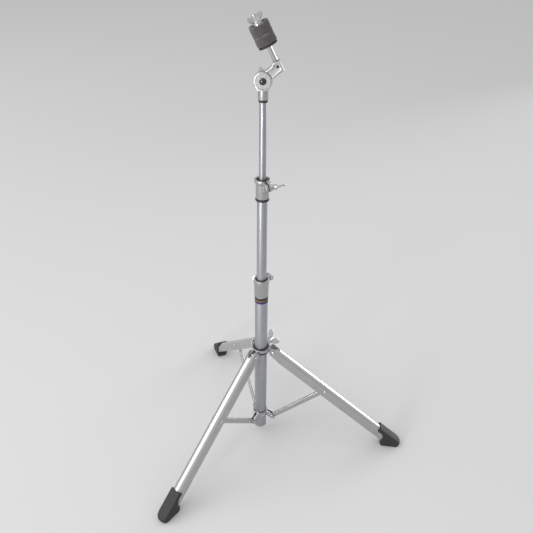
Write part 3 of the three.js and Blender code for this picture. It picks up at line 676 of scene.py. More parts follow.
@dataclass(frozen=True)
class Print:
    """The band's finish: a dark ground, two gold lines and a violet lower edge."""

    height: float = 12.8
    ground: Triple = (0.012, 0.008, 0.012)
    gold: Triple = (0.30, 0.19, 0.07)
    violet: Triple = (0.085, 0.045, 0.30)
    starts: tuple[float, ...] = (0.0, 0.17, 0.40, 0.47, 0.60, 0.67)
    scuff: Colour = (0.2, 0.18, 0.19, 1)
    rough: float = 0.32

    def stops(self) -> list[tuple[float, Triple]]:
        """Where each colour starts, as a share of the height, and the colour."""
        colours = (self.violet, self.ground, self.gold, self.ground, self.gold, self.ground)
        return list(zip(self.starts, colours))


class Finish(Enum):
    """Finishes of the stand, each with its material slot in the record."""

    TUBE = "tube"
    PRESSED = "pressed_steel"
    CAST = "cast_metal"
    HARDWARE = "hardware"
    # Dark metal: black oxide on the set screw, and a painted reflection on the dome bolt, whose dark
    # colour stands in for the dark room that it reflects.
    BLACK_OXIDE_AND_PAINTED_REFLECTION = "dark_bolt"
    NYLON = "nylon"
    RUBBER = "rubber"
    FELT = "felt"
    BAND = "band"

    @property
    def slot(self) -> str:
        """The record's slot."""
        return "hardware" if self is Finish.BLACK_OXIDE_AND_PAINTED_REFLECTION else self.value


METALS = {
    Finish.TUBE: Metal((0.415, 0.425, 0.445), 0.38, lines=0.16, squeeze=(1, 1, 0.004), bump=0.012),
    Finish.PRESSED: Metal((0.50, 0.50, 0.505), 0.26, lines=0.14, squeeze=(0.006, 1, 1), bump=0.012),
    Finish.CAST: Metal((0.45, 0.45, 0.455), 0.33, skin=1.0, smudge=0.12, bump=0.05),
    Finish.HARDWARE: Metal((0.57, 0.57, 0.57), 0.17, skin=0.5, bump=0.03),
    # Painted reflection: on the dome bolt this dark colour stands in for the dark surroundings that
    # it reflects. On the set screw the same colour is its black oxide.
    Finish.BLACK_OXIDE_AND_PAINTED_REFLECTION: Metal((0.09, 0.085, 0.085), 0.16, skin=0.4, dust=0.02, bump=0.02),
}
MOULDINGS = {
    Finish.NYLON: Moulding((0.014, 0.014, 0.015), 0.42),
    Finish.RUBBER: Moulding((0.013, 0.013, 0.0135), 0.55, grain=1.0, dust=0.08, bump=0.2),
}
METAL_DUST: Colour = (0.36, 0.34, 0.32, 1)
BLACK_DUST: Colour = (0.22, 0.21, 0.20, 1)
BLACK_SCUFF: Colour = (0.12, 0.12, 0.12, 1)


class Paint(Graph):
    """The node tree of a material in the making."""

    def __init__(self, finish: Finish) -> None:
        """Starts the material, with a vector in the frame of each piece.

        Args:
            finish: that the material is named after.
        """
        self.material = bpy.data.materials.new(finish.value)
        self.material.use_nodes = True
        super().__init__(self.material.node_tree)
        self.vector = self.add("ShaderNodeAttribute", attribute_name="own_frame").outputs["Vector"]

    def group(self, tree: bpy.types.NodeTree, vector: Socket | None = None,
              **values: float) -> Outputs:
        """Places a shared group, on the piece's own vector where none is given."""
        inputs = {"Vector": self.vector if vector is None else vector, **values}
        return self.add("ShaderNodeGroup", inputs, node_tree=tree).outputs

    def bump(self, height: Socket, strength: float, depth: float) -> Socket:
        """A normal bent by a height, its depth in millimetres."""
        return self.add("ShaderNodeBump", {"Strength": strength, "Distance": depth * MM,
                                           "Height": height}).outputs[0]

    def done(self, inputs: dict[str, object]) -> bpy.types.Material:
        """Feeds the shader and gives the material."""
        self.feed(self.tree.nodes["Principled BSDF"], inputs)
        return self.material


class Paintshop:
    """Makes the stand's materials."""

    def __init__(self) -> None:
        """Builds the shared groups."""
        self.lines = effect(drawn_lines, "Fine", "Broad")
        self.handling = effect(handling_marks, "Scratch")
        self.dust = effect(settled_dust, "Amount")
        self.skin = effect(cast_skin, "Waves", "Grain")
        self.fibre = effect(wool_fibre)

    def metal(self, finish: Finish, spec: Metal) -> bpy.types.Material:
        """A metal with drawn lines or a cast skin, handling marks and a little dust.

        Args:
            finish: that the material is for.
            spec: its values.

        Returns:
            The material.
        """
        g = Paint(finish)
        lines = g.group(self.lines, g.stretched(g.vector, spec.squeeze), Fine=spec.lines,
                        Broad=spec.lines * 1.4)
        marks = g.group(self.handling, Scratch=spec.scratch)
        dust = g.group(self.dust, Amount=spec.dust)["Dust"]
        skin = g.group(self.skin, Waves=spec.skin, Grain=0.25)
        shade = g.minus(g.plus(lines["Streak"], 1.0), g.times(marks["Smudge"], 0.07))
        colour = g.add("ShaderNodeVectorMath", {0: spec.colour, "Scale": shade}, operation="SCALE")
        rough = g.plus(g.times(marks["Smudge"], spec.smudge), spec.rough)
        rough = g.plus(rough, g.times(marks["Scratch"], 0.12))
        height = skin["Height"] if spec.skin else lines["Height"]
        return g.done({
            "Base Color": g.mix(dust, colour.outputs[0], METAL_DUST),
            "Roughness": g.plus(rough, g.times(lines["Streak"], 0.25), clamp=True),
            "Metallic": g.minus(1.0, g.times(dust, 0.7), clamp=True),
            "Normal": g.bump(height, 0.5, spec.bump * 4)})

    def moulding(self, finish: Finish, spec: Moulding) -> bpy.types.Material:
        """Black nylon or rubber with a moulded skin, scuffs and dust.

        Args:
            finish: that the material is for.
            spec: its values.

        Returns:
            The material.
        """
        g = Paint(finish)
        marks = g.group(self.handling, Scratch=1.0)
        dust = g.group(self.dust, Amount=spec.dust)["Dust"]
        skin = g.group(self.skin, Waves=spec.waves, Grain=spec.grain)
        fresh, rubbed = (*spec.colour, 1), (*(c * spec.wear for c in spec.colour), 1)
        worn = g.mix(g.times(marks["Smudge"], 0.5), fresh, rubbed)
        scuffed = g.mix(g.times(marks["Scratch"], 0.35), worn, BLACK_SCUFF)
        rough = g.plus(g.times(marks["Smudge"], 0.14), spec.rough)
        return g.done({
            "Base Color": g.mix(dust, scuffed, BLACK_DUST),
            "Roughness": g.plus(rough, g.times(dust, 0.3), clamp=True),
            "Normal": g.bump(skin["Height"], 0.6, spec.bump)})

    def felt(self, spec: Wool) -> bpy.types.Material:
        """Dark grey pressed wool, a little brown where the nut has rubbed it.

        Args:
            spec: the finish's values.

        Returns:
            The material.
        """
        g = Paint(Finish.FELT)
        wool = g.group(self.fibre)
        dust = g.group(self.dust, Amount=spec.dust)["Dust"]
        base = g.mix(wool["Fibre"], spec.dark, spec.pale)
        clumped = g.mix(g.times(wool["Clump"], 0.45), base, spec.clump)
        patch = g.remap(g.noise(g.vector, 0.16), 0.42, 0.62, to_low=0.1)
        rubbed = g.times(g.remap(g.height(g.vector), *spec.rubbed), patch)
        worn = g.math("MAXIMUM", dust, g.times(rubbed, 0.6), False)
        brown = g.mix(worn, clumped, spec.brown)
        nap = g.plus(wool["Fibre"], g.times(wool["Clump"], 1.5))
        return g.done({
            "Base Color": g.mix(g.times(wool["Fleck"], 0.35), brown, spec.fleck),
            "Roughness": 1.0, "Specular IOR Level": 0.12, "Sheen Weight": 0.18,
            "Sheen Roughness": 0.6, "Normal": g.bump(nap, 0.9, spec.nap)})

    def band(self, spec: Print) -> bpy.types.Material:
        """A band printed in flat colours by height.

        Args:
            spec: the finish's values.

        Returns:
            The material.
        """
        g = Paint(Finish.BAND)
        marks = g.group(self.handling, Scratch=1.0)
        ramp = g.add("ShaderNodeValToRGB", {0: g.remap(g.height(g.vector), 0, spec.height)})
        ramp.color_ramp.interpolation = "CONSTANT"
        points, stops = ramp.color_ramp.elements, spec.stops()
        while len(points) < len(stops):
            points.new(0.5)
        for point, (place, colour) in zip(points, stops):
            point.position, point.color = place, (*colour, 1)
        return g.done({
            "Base Color": g.mix(g.times(marks["Scratch"], 0.5), ramp.outputs[0], spec.scuff),
            "Roughness": g.plus(g.times(marks["Smudge"], 0.2), spec.rough)})

    def stock(self) -> dict[Finish, bpy.types.Material]:
        """Every material of the stand.

        Returns:
            The materials by finish.
        """
        made = {finish: self.metal(finish, spec) for finish, spec in METALS.items()}
        made.update({finish: self.moulding(finish, spec) for finish, spec in MOULDINGS.items()})
        made[Finish.FELT] = self.felt(Wool())
        made[Finish.BAND] = self.band(Print())
        return made


# Pieces

class Bench:
    """Turns forms into pieces that ride on the stand's bodies."""

    def __init__(self, stock: dict[Finish, bpy.types.Material]) -> None:
        """Takes the materials.

        Args:
            stock: the materials by finish.
        """
        self.stock = stock
        low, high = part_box("lower_tube")
        self.stand = at((low.x + high.x) / 2, (low.y + high.y) / 2)

    def piece(self, name: str, form: Form, place: Matrix, body: str, node: str, finish: Finish,
              smooth: float = 32.0, rounding: float = 0.0) -> bpy.types.Object:
        """Makes a piece that stands for a node.

        Args:
            name: of the piece.
            form: its shape in its own frame, in millimetres.
            place: where that frame lies, in millimetres from the tubes' axis on the floor.
            body: that it moves with.
            node: that it stands for.
            finish: its material.
            smooth: largest angle that is shaded smooth, in degrees.
            rounding: width of a last rounding of its edges.

        Returns:
            The object.
        """
        mesh = form.mesh(name)
        own = mesh.attributes.new("own_frame", "FLOAT_VECTOR", "POINT")
        own.data.foreach_set("vector", [c for v in mesh.vertices for c in v.co])
        mesh.transform(self.stand @ Matrix.Scale(MM, 4) @ place)
        mesh.materials.clear()
        mesh.materials.append(self.stock[finish])
        mesh.polygons.foreach_set("material_index", [0] * len(mesh.polygons))
        mesh.shade_smooth()
        mesh.set_sharp_from_angle(angle=math.radians(smooth))
        obj = bpy.data.objects.new(name, mesh)
        bpy.context.scene.collection.objects.link(obj)
        if rounding:
            bevel = obj.modifiers.new("rounding", "BEVEL")
            bevel.width, bevel.segments, bevel.limit_method = rounding * MM, 2, "ANGLE"
            bevel.angle_limit, bevel.harden_normals = math.radians(40), True
        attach(obj, body)
        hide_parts(node)
        log.info("%s on %s: %d faces", name, body, len(mesh.polygons))
        return obj


def span(node: str) -> Pair:
    """Lowest and highest height of a node, in millimetres."""
    low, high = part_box(node)
    return low.z / MM, high.z / MM


def raised(height: float, azimuth: float = 0.0) -> Matrix:
    """A frame at a height over the tubes' axis, turned by an azimuth in degrees."""
    return at(z=height) @ spun(azimuth)


def radial(radius: float, azimuth: float, height: float) -> Matrix:
    """A frame on a round wall: Z points straight out of it."""
    return raised(height, azimuth) @ at(radius) @ spun(90, "Y")


class Stage(Enum):
    """The three telescoping tubes: name, radius and body."""

    LOWER = ("lower", 12.7, "base")
    MIDDLE = ("middle", 9.525, "middle_stage")
    TOP = ("top", 6.35, "top_stage")

    def __init__(self, label: str, radius: float, body: str) -> None:
        """Takes an option's values."""
        self.label, self.radius, self.body = label, radius, body


TUBE_WALL = 1.2


@dataclass
class Tubes:
    """The tubes, their guide rings and the band."""

    steps: int = 112
    guide_wall: float = 1.2
    guide_collar: float = 3.0
    band_thickness: float = 0.3

    def tube(self, bench: Bench, stage: Stage) -> None:
        """One tube, its lips drawn in a little.

        Args:
            bench: where the pieces are made.
            stage: the tube.
        """
        node = f"{stage.label}_tube"
        bottom, top = span(node)
        form = Form.sleeve(stage.radius - TUBE_WALL, stage.radius, 0, top - bottom, self.steps)
        bench.piece(f"{node}_drawn", form.eased(0.4, 3), raised(bottom), stage.body, node,
                    Finish.TUBE)

    def guide(self, bench: Bench, stage: Stage, outside: Stage) -> None:
        """The guide ring plugged in a tube's hidden end.

        Args:
            bench: where the pieces are made.
            stage: the tube that carries it.
            outside: the tube that it runs in.
        """
        node = f"{stage.label}_guide"
        bottom, top = span(node)
        running, plug = (s.radius - TUBE_WALL - SLACK for s in (outside, stage))
        bore, collar, length = plug - self.guide_wall, self.guide_collar, top - bottom
        form = Form.turned([(bore, 0), (running, 0), (running, collar), (plug, collar),
                            (plug, length), (bore, length)], 64).eased(0.25, 2)
        bench.piece(f"{node}_ring", form, raised(bottom), stage.body, node, Finish.NYLON)

    def band(self, bench: Bench) -> None:
        """The plain band under the lower clamp.

        Args:
            bench: where the pieces are made.
        """
        bottom, top = span("label_band")
        inner = Stage.LOWER.radius + SLACK
        form = Form.sleeve(inner, inner + self.band_thickness, 0, top - bottom, self.steps)
        bench.piece("plain_band", form, raised(bottom), "base", "label_band", Finish.BAND)

    def build(self, bench: Bench) -> None:
        """Makes every piece.

        Args:
            bench: where the pieces are made.
        """
        for stage in Stage:
            self.tube(bench, stage)
        self.guide(bench, Stage.MIDDLE, Stage.LOWER)
        self.guide(bench, Stage.TOP, Stage.MIDDLE)
        self.band(bench)


@dataclass(frozen=True)
class EaredRing:
    """Sizes of a ring with three pairs of ears, its heights measured from the ears' pins."""

    bore: float
    outer: float
    low: float
    high: float
    root: float
    ear_radius: float
    ear: float
    hole: float


COLLAR = EaredRing(bore=13.0, outer=15.8, low=3, high=16, root=3, ear_radius=5.8, ear=2.4, hole=2.5)
CROWN = EaredRing(bore=16.5, outer=19.3, low=2.6, high=8.6, root=-3.6, ear_radius=5.4, ear=2.6,
                  hole=2.9)


@dataclass
class Tripod:
    """Legs, braces, feet, collar and crown, in the shape that the linkage has when it is open."""

    azimuths: Triple = (-150.0, -30.0, 90.0)
    pivot_radius: float = 27.0
    arm: float = 147.0
    leg_angle: float = 50.4
    collar_height: float = 46.3
    leg_width: float = 20.9
    leg_depth: float = 21.4
    leg_wall: float = 1.4
    leg_arch: float = 7.0
    pivot_to_web: float = 9.7
    web_setback: float = 4.0
    end_radius: float = 8.6
    end_taper: float = 22.0
    sole: float = 3.5
    brace_width: float = 5.6
    brace_depth: float = 11.0
    brace_wall: float = 1.2
    brace_arch: float = 1.8
    cross_tube: float = 3.6
    foot_wall: float = 1.8
    foot_cover: float = 44.0
    pocket_beyond: float = 34.0
    nose: float = 8.0
    lip: float = 7.0
    lip_setback: float = 2.0
    heel_beyond_lip: float = 8.0
    heel_height: float = 6.0
    scoop: Pair = (12.0, 16.0)
    foot_edge: float = 4.0
    toe_corner: float = 10.5
    bolt_azimuth: float = 30.0
    bolt_height: float = 5.6
    bolt_shank: float = 3.0
    bolt_length: float = 10.7
    bolt_seat: float = 27.2
    bolt_turn: float = -44.0
    boss: Pair = (6.5, 10.0)
    hub: float = 3.6
    hub_gap: float = 0.4
    bush: Pair = (-4.0, 9.2)
    brace_rivet: Triple = (2.4, 4.4, 1.8)
    collar_pin: Triple = (2.2, 3.6, 1.2)
    leg_pin: Triple = (2.6, 4.8, 2.0)
    fixing_grip: float = 3.1
    fixing_rise: float = 9.5

    @property
    def pitch(self) -> float:
        """Angle between a leg and the floor, in radians."""
        return math.radians(90 - self.leg_angle)

    @property
    def crown_height(self) -> float:
        """Height of the crown's pivots."""
        return self.collar_height + 2 * self.arm * math.cos(math.radians(self.leg_angle))

    @property
    def leg_end(self) -> float:
        """Where a leg's channel ends, measured from its pivot."""
        drop = (self.leg_depth - self.pivot_to_web) * math.cos(self.pitch)
        return (self.crown_height - drop - self.sole) / math.sin(self.pitch)

    def leg_frame(self, azimuth: float = 0.0) -> Matrix:
        """A leg's frame: X down the leg, Z out of its web."""
        return (raised(self.crown_height, azimuth) @ at(self.pivot_radius)
                @ spun(90 - self.leg_angle, "Y"))

    def brace_frame(self, azimuth: float) -> Matrix:
        """A brace's frame: X up the brace, Z out of its web."""
        return (raised(self.collar_height, azimuth) @ at(self.pivot_radius)
                @ spun(self.leg_angle - 90, "Y"))

    def channel(self, width: float, depth: float, wall: float, arch: float, to_web: float,
                outline: Outline) -> Form:
        """A pressed channel with an arched web, trimmed to a side outline.

        Args:
            width, depth, wall, arch: sizes of the section, arch being the web's rise.
            to_web: from the pivots' line up to the web's top.
            outline: convex outline in the side view, which the channel is trimmed to.

        Returns:
            The channel.
        """
        bm = bmesh.new()
        form, half, spare = Form(bm), width / 2, 5
        web = arc(0, to_web - arch, half, 0, 180, 24, arch)
        section = [(half, to_web - depth), *web, (-half, to_web - depth)]
        low, high = min(x for x, _ in outline) - spare, max(x for x, _ in outline) + spare
        verts = [bm.verts.new((low, y, z)) for y, z in section]
        edges = [bm.edges.new(pair) for pair in zip(verts, verts[1:])]
        form.drag(bmesh.ops.extrude_edge_only(bm, edges=edges)["geom"], (high - low, 0, 0))
        for (x0, z0), (x1, z1) in zip(outline, outline[1:] + outline[:1]):
            form.scored((x0, 0, z0), (z1 - z0, 0, x0 - x1), near=1e-4, clear=True)
        bmesh.ops.remove_doubles(bm, verts=bm.verts, dist=0.01)
        bmesh.ops.recalc_face_normals(bm, faces=bm.faces)
        top = max(bm.faces, key=lambda f: f.calc_center_median().z)
        if top.normal.z < 0:
            bmesh.ops.reverse_faces(bm, faces=bm.faces)
        bmesh.ops.solidify(bm, geom=bm.faces[:], thickness=wall)
        return form

    def leg(self) -> Form:
        """One leg.

        Returns:
            The leg in its own frame.
        """
        open_side = self.pivot_to_web - self.leg_depth
        outline = [(self.leg_end, open_side), (self.leg_end, self.pivot_to_web),
                   (self.web_setback, self.pivot_to_web), *arc(0, 0, self.end_radius, 90, 270, 14),
                   (self.end_taper, open_side)]
        return self.channel(self.leg_width, self.leg_depth, self.leg_wall, self.leg_arch,
                            self.pivot_to_web, outline)

    def brace(self) -> Form:
        """One brace with the cross tube at its outer end.

        Returns:
            The brace in its own frame.
        """
        half = self.brace_depth / 2
        outline = [*arc(self.arm, 0, half, -90, 90, 12), *arc(0, 0, half, 90, 270, 12)]
        form = self.channel(self.brace_width, self.brace_depth, self.brace_wall, self.brace_arch,
                            half, outline)
        reach = self.leg_width / 2 - self.leg_wall - SLACK
        return form.with_(Form.pin(self.cross_tube, -reach, reach, self.arm, 0))

    def on_leg(self, along: float, out: float) -> Pair:
        """Radius and height of a place on a leg.

        Args:
            along: how far down the leg from its pivot.
            out: how far out of its web.

        Returns:
            The radius and the height.
        """
        angle = math.radians(self.leg_angle)
        sine, cosine = math.sin(angle), math.cos(angle)
        return (self.pivot_radius + along * sine + out * cosine,
                self.crown_height - along * cosine + out * sine)

    def softened(self, form: Form, half: float, toe: float, ways: dict[Pair, Pair]) -> Form:
        """Rounds a foot's long edges and the two corners of its toe.

        Args:
            form: the sawn blank.
            half: half of its width.
            toe: how far out its toe reaches.
            ways: the outward direction at each point of its outline.

        Returns:
            The same form, in triangles.
        """
        edge, corner = self.foot_edge, self.toe_corner
        for share in (0, 0.45, 0.75, 0.93):
            for y in (half - edge * (1 - share), edge * (1 - share) - half):
                form.scored((0, y, 0), (0, 1, 0))
        for vert in form.bm.verts:
            over = abs(vert.co.y) - half + edge
            if over > 0:
                x, z = ways[round(vert.co.x, 2), round(vert.co.z, 2)]
                vert.co -= Vector((x, 0, z)) * (edge - math.sqrt(max(0.0, edge ** 2 - over ** 2)))
        for degrees in (0, 18, 36, 54, 70):
            form.scored((toe - corner * (1 - math.sin(math.radians(degrees))), 0, 0), (1, 0, 0))
        for vert in form.bm.verts:
            over = vert.co.x - toe + corner
            if over > 0:
                vert.co.y *= (half - corner + math.sqrt(max(0.0, corner ** 2 - over ** 2))) / half
        form.sealed()
        bmesh.ops.triangulate(form.bm, faces=form.bm.faces)
        return form

    def pocket(self) -> Form:
        """The hollow of a foot, which the leg's end fills.

        Returns:
            The hollow, in the foot's place.
        """
        half, bottom = self.leg_width / 2 + SLACK, self.pivot_to_web - self.leg_depth - SLACK
        web = arc(0, self.pivot_to_web - self.leg_arch, half, 0, 180, 24, self.leg_arch + SLACK)
        start = self.leg_end - self.foot_cover - self.pocket_beyond
        hollow = Form.sawn([(half, bottom), *web, (-half, bottom)], start, self.leg_end + SLACK)
        return hollow.moved(SWAP_XY).sealed().moved(self.leg_frame())

    def foot(self) -> Form:
        """One rubber foot, in the leg's upright plane: X outwards, Z up.

        Returns:
            The foot.
        """
        skin = self.pivot_to_web + SLACK + self.foot_wall
        end = self.leg_end - self.foot_cover
        flap, lip = self.on_leg(end, skin), self.on_leg(end - self.lip_setback, skin - self.lip)
        heel, bend = lip[0] + self.heel_beyond_lip, self.foot_edge + 1
        nose = flap[0] + flap[1] / math.tan(self.pitch) - self.nose / math.tan(self.pitch / 2)
        turn = 90 - math.degrees(self.pitch)
        outline = [*arc(heel + bend, bend, bend, 180, 270, 6),
                   *arc(nose, self.nose, self.nose, -90, turn, 12),
                   flap, lip, (heel, self.heel_height)]
        upper = arc(0, 0, 1, -90, turn, 12)
        outwards = [*arc(0, 0, 1, 180, 270, 6), *upper, upper[-1], (0, 0), (-1, 0)]
        ways = {(round(x, 2), round(z, 2)): way for (x, z), way in zip(outline, outwards)}
        half = self.leg_width / 2 + SLACK + self.foot_wall
        form = self.softened(Form.sawn(outline, -half, half), half, nose + self.nose, ways)
        wide, high = self.scoop
        scoop = arc(lip[0], (lip[1] + self.heel_height) / 2, wide, 0, 360, 40, high)[:-1]
        return form.without(self.pocket(), Form.sawn(scoop, -self.leg_width, self.leg_width))

    def eared(self, ring: Form, spec: EaredRing, gap: float) -> Form:
        """Casts three pairs of ears on a ring.

        Args:
            ring: the ring.
            spec: its sizes and those of the ears.
            gap: from the middle of a pair to an ear.

        Returns:
            The casting.
        """
        x, inside = self.pivot_radius, spec.bore + SLACK
        outline = [(inside, spec.root), *arc(x, 0, spec.ear_radius, -100, 70, 16),
                   (inside, spec.high)]
        for azimuth in self.azimuths:
            turn = raised(0, azimuth)
            for start, end in ((gap, gap + spec.ear), (-gap - spec.ear, -gap)):
                ear = Form.sawn(outline, start, end).eased(0.55, 3, 50)
                ring = ring.with_(ear.moved(turn))
            ring = ring.without(Form.pin(spec.hole, -spec.bore, spec.bore, x).moved(turn))
        return ring

    def collar(self) -> Form:
        """The fixed collar."""
        ring = Form.sleeve(COLLAR.bore, COLLAR.outer, COLLAR.low, COLLAR.high).eased(0.5)
        return self.eared(ring, COLLAR, self.brace_width / 2 + SLACK)

    def crown(self) -> Form:
        """The sliding crown: ring, ears with hubs, and the boss of its wing bolt.

        Returns:
            The casting.
        """
        bore, inside = CROWN.bore, self.leg_width / 2 - self.leg_wall
        gap = inside - CROWN.ear - CROWN.ear
        form = Form.sleeve(bore, CROWN.outer, CROWN.low, CROWN.high).eased(0.6)
        boss = Form.post(self.boss[0], 0, self.boss[1], 40).eased(0.8, 3, 60)
        form = form.with_(boss.moved(radial(bore + SLACK, self.bolt_azimuth, self.bolt_height)))
        form = self.eared(form, CROWN, gap)
        for azimuth in self.azimuths:
            for side in (1, -1):
                ends = sorted((side * (gap + 1), side * (inside - self.hub_gap)))
                hub = Form.pin(self.hub, *ends, self.pivot_radius).without(
                    Form.pin(CROWN.hole, -30, 30, self.pivot_radius))
                form = form.with_(hub.moved(raised(0, azimuth)))
        hole = Form.post(self.bolt_shank + SLACK, 0, 30, 32)
        return form.without(hole.moved(radial(10, self.bolt_azimuth, self.bolt_height)))

    def build(self, bench: Bench) -> None:
        """Makes every piece of the tripod.

        Args:
            bench: where the pieces are made.
        """
        leg, brace, foot = self.leg(), self.brace(), self.foot()
        collar_grip, leg_grip = self.brace_width / 2 + SLACK + COLLAR.ear, self.leg_width / 2
        for i, azimuth in enumerate(self.azimuths, 1):
            legs, braces, body = self.leg_frame(azimuth), self.brace_frame(azimuth), f"leg_{i}_set"
            collar_pins, crown_pins = (raised(height, azimuth) @ at(self.pivot_radius)
                                       for height in (self.collar_height, self.crown_height))
            bench.piece(f"leg_{i}_channel", leg.copy(), legs, body, f"leg_{i}", Finish.PRESSED,
                        smooth=40, rounding=0.3)
            middle = rivet(*self.brace_rivet, leg_grip).moved(at(self.arm))
            bench.piece(f"brace_{i}_rivet", middle, legs, body, f"brace_rivet_{i}", Finish.HARDWARE)
            bench.piece(f"foot_{i}_rubber", foot.copy(), raised(0, azimuth), body, f"foot_{i}",
                        Finish.RUBBER, smooth=50)
            bench.piece(f"brace_{i}_channel", brace.copy(), braces, f"brace_{i}_arm", f"brace_{i}",
                        Finish.PRESSED, smooth=40, rounding=0.25)
            bench.piece(f"collar_pin_{i}", rivet(*self.collar_pin, collar_grip), collar_pins, "base",
                        f"collar_rivet_pin_{i}", Finish.HARDWARE)
            bench.piece(f"leg_{i}_pin", rivet(*self.leg_pin, leg_grip), crown_pins, "crown",
                        f"leg_pivot_{i}", Finish.HARDWARE)
        collar, crown = raised(self.collar_height), raised(self.crown_height)
        bench.piece("collar_casting", self.collar(), collar, "base", "lower_collar", Finish.CAST)
        bench.piece("collar_fixing", blind_rivet(self.fixing_grip),
                    radial(COLLAR.bore, -90, self.collar_height + self.fixing_rise), "base",
                    "collar_rivet", Finish.HARDWARE)
        bench.piece("crown_casting", self.crown(), crown, "crown", "leg_crown", Finish.CAST)
        bush = Form.sleeve(Stage.LOWER.radius + SLACK, CROWN.bore - SLACK, *self.bush, 96)
        bench.piece("crown_bush_ring", bush.eased(0.5), crown, "crown", "crown_bush", Finish.NYLON)
        wing = TALL_WING.form(shank=self.bolt_shank, shank_length=self.bolt_length)
        seat = radial(self.bolt_seat, self.bolt_azimuth, self.crown_height + self.bolt_height)
        bench.piece("crown_bolt_cast", wing.moved(spun(self.bolt_turn)), seat, "crown_bolt",
                    "crown_wing_bolt", Finish.HARDWARE)


@dataclass
class SplitClamp:
    """A split cast clamp with its bush, bolt and wing nut."""

    prefix: str
    outside: Stage
    inside: Stage
    azimuth: float
    wing_turn: float
    height: float
    foot: float
    waist: float
    ring: float
    mouth: float
    waist_height: float
    ring_height: float
    ear_height: float
    socket: float
    recess: float
    skirt: float = 16.0
    ear_reach: float = 8.6
    ear_radius: float = 7.2
    ear_thickness: float = 5.0
    ear_step: float = 0.5
    boss: float = 6.3
    bolt_hole: float = 3.3
    slit: float = 2.4
    bush_slit: float = 1.5
    steps: int = 96

    @property
    def across(self) -> float:
        """How far out the bolt lies."""
        return self.ring + self.ear_reach

    @property
    def half(self) -> float:
        """From the middle of the slit to an ear's outer face."""
        return self.ear_thickness + self.slit / 2

    def casting(self) -> Form:
        """The casting: a sleeve that swells to a ring, with a slit between two ears.

        Returns:
            The casting, standing on XY.
        """
        top, bore, ear, half = self.height, self.outside.radius + SLACK, self.ear_height, self.half
        shell = Form.turned([(bore, 0), (self.foot, 0), (self.waist, self.waist_height),
                             (self.ring, self.ring_height), (self.ring, top), (self.mouth, top),
                             (self.mouth, self.socket), (bore, self.socket)], self.steps)
        shell.eased(0.8, 3, 25)
        root = self.mouth + SLACK
        outline = [(root, ear - self.ear_radius),
                   *arc(self.across, ear, self.ear_radius, -90, 90, 20),
                   (root, ear + self.ear_radius)]
        ears = Form.sawn(outline, self.ear_step - half, half - self.ear_step).eased(1.3, 4, 60)
        boss = Form.pin(self.boss, -half, half, self.across, ear, 48).eased(0.5, 2, 60)
        slot = Form.block((0, -self.slit / 2, self.socket),
                          (self.across + self.ear_radius + 3, self.slit / 2, top + 3))
        hole = Form.pin(self.bolt_hole, -half - 3, half + 3, self.across, ear)
        return shell.with_(ears, boss).without(slot, hole)

    def bush(self) -> Form:
        """The black bush, split along its side.

        Returns:
            The bush, in the casting's frame.
        """
        bore, skirt = self.inside.radius + SLACK, self.outside.radius - TUBE_WALL - SLACK
        out, shelf = self.mouth - SLACK, self.socket + SLACK
        foot, top, half = shelf - self.skirt, self.height - self.recess, self.bush_slit / 2
        ring = Form.turned([(bore, foot), (skirt, foot), (skirt, shelf), (out, shelf), (out, top),
                            (bore, top)], self.steps).eased(0.4, 3)
        return ring.without(Form.block((0, -half, foot - 3), (out + 3, half, top + 3)))

    def build(self, bench: Bench) -> None:
        """Makes the clamp's pieces.

        Args:
            bench: where the pieces are made.
        """
        clamp, body = f"{self.prefix}_clamp", self.outside.body
        here = raised(span(clamp)[0], self.azimuth)
        bench.piece(f"{clamp}_casting", self.casting(), here, body, clamp, Finish.CAST,
                    smooth=40, rounding=0.3)
        bench.piece(f"{self.prefix}_bush_ring", self.bush(), here, f"{self.prefix}_bush_turn",
                    f"{self.prefix}_bush", Finish.NYLON)
        across = here @ at(self.across, 0, self.ear_height)
        foot = self.half + SLACK
        bolt = hex_bolt(-foot, foot + TALL_WING.hub_height + 2)
        bench.piece(f"{clamp}_bolt_hex", bolt, across, body, f"{clamp}_bolt", Finish.HARDWARE)
        nut = TALL_WING.form(bore=self.bolt_hole).moved(spun(self.wing_turn))
        nut.moved(at(y=foot) @ spun(-90, "X"))
        bench.piece(f"{self.prefix}_nut_cast", nut, across, f"{self.prefix}_nut",
                    f"{clamp}_wing_nut", Finish.HARDWARE)


LOWER_CLAMP = SplitClamp(
    "lower", Stage.LOWER, Stage.MIDDLE, azimuth=37.3, wing_turn=-40, height=38, foot=13.8,
    waist=14.5, ring=15.3, mouth=12.2, waist_height=28, ring_height=30.5, ear_height=29,
    socket=18, recess=1)
UPPER_CLAMP = SplitClamp(
    "upper", Stage.MIDDLE, Stage.TOP, azimuth=-88.7, wing_turn=-30, height=37, foot=11.7,
    waist=11.9, ring=14.5, mouth=11.4, waist_height=28, ring_height=32, ear_height=28.5,
    socket=19, recess=2)


@dataclass
class ClampTrim:
    """The black ring and the rivet at the foot of the upper clamp."""

    azimuth: float = -45.0
    height: float = 9.0
    inner: float = 9.825
    outer: float = 12.7

    def build(self, bench: Bench) -> None:
        """Makes both pieces.

        Args:
            bench: where the pieces are made.
        """
        bottom, top = span("upper_clamp_ring")
        ring = Form.sleeve(self.inner, self.outer, 0, top - bottom, 96).eased(
            1.1, 4, where=lambda e: all(v.co.xy.length > 11 for v in e.verts))
        bench.piece("upper_foot_ring", ring, raised(bottom), "middle_stage", "upper_clamp_ring",
                    Finish.NYLON)
        head = blind_rivet(UPPER_CLAMP.foot - self.inner + SLACK)
        place = radial(self.inner, self.azimuth, span("upper_clamp")[0] + self.height)
        bench.piece("upper_foot_rivet", head, place, "middle_stage", "upper_clamp_rivet",
                    Finish.HARDWARE)


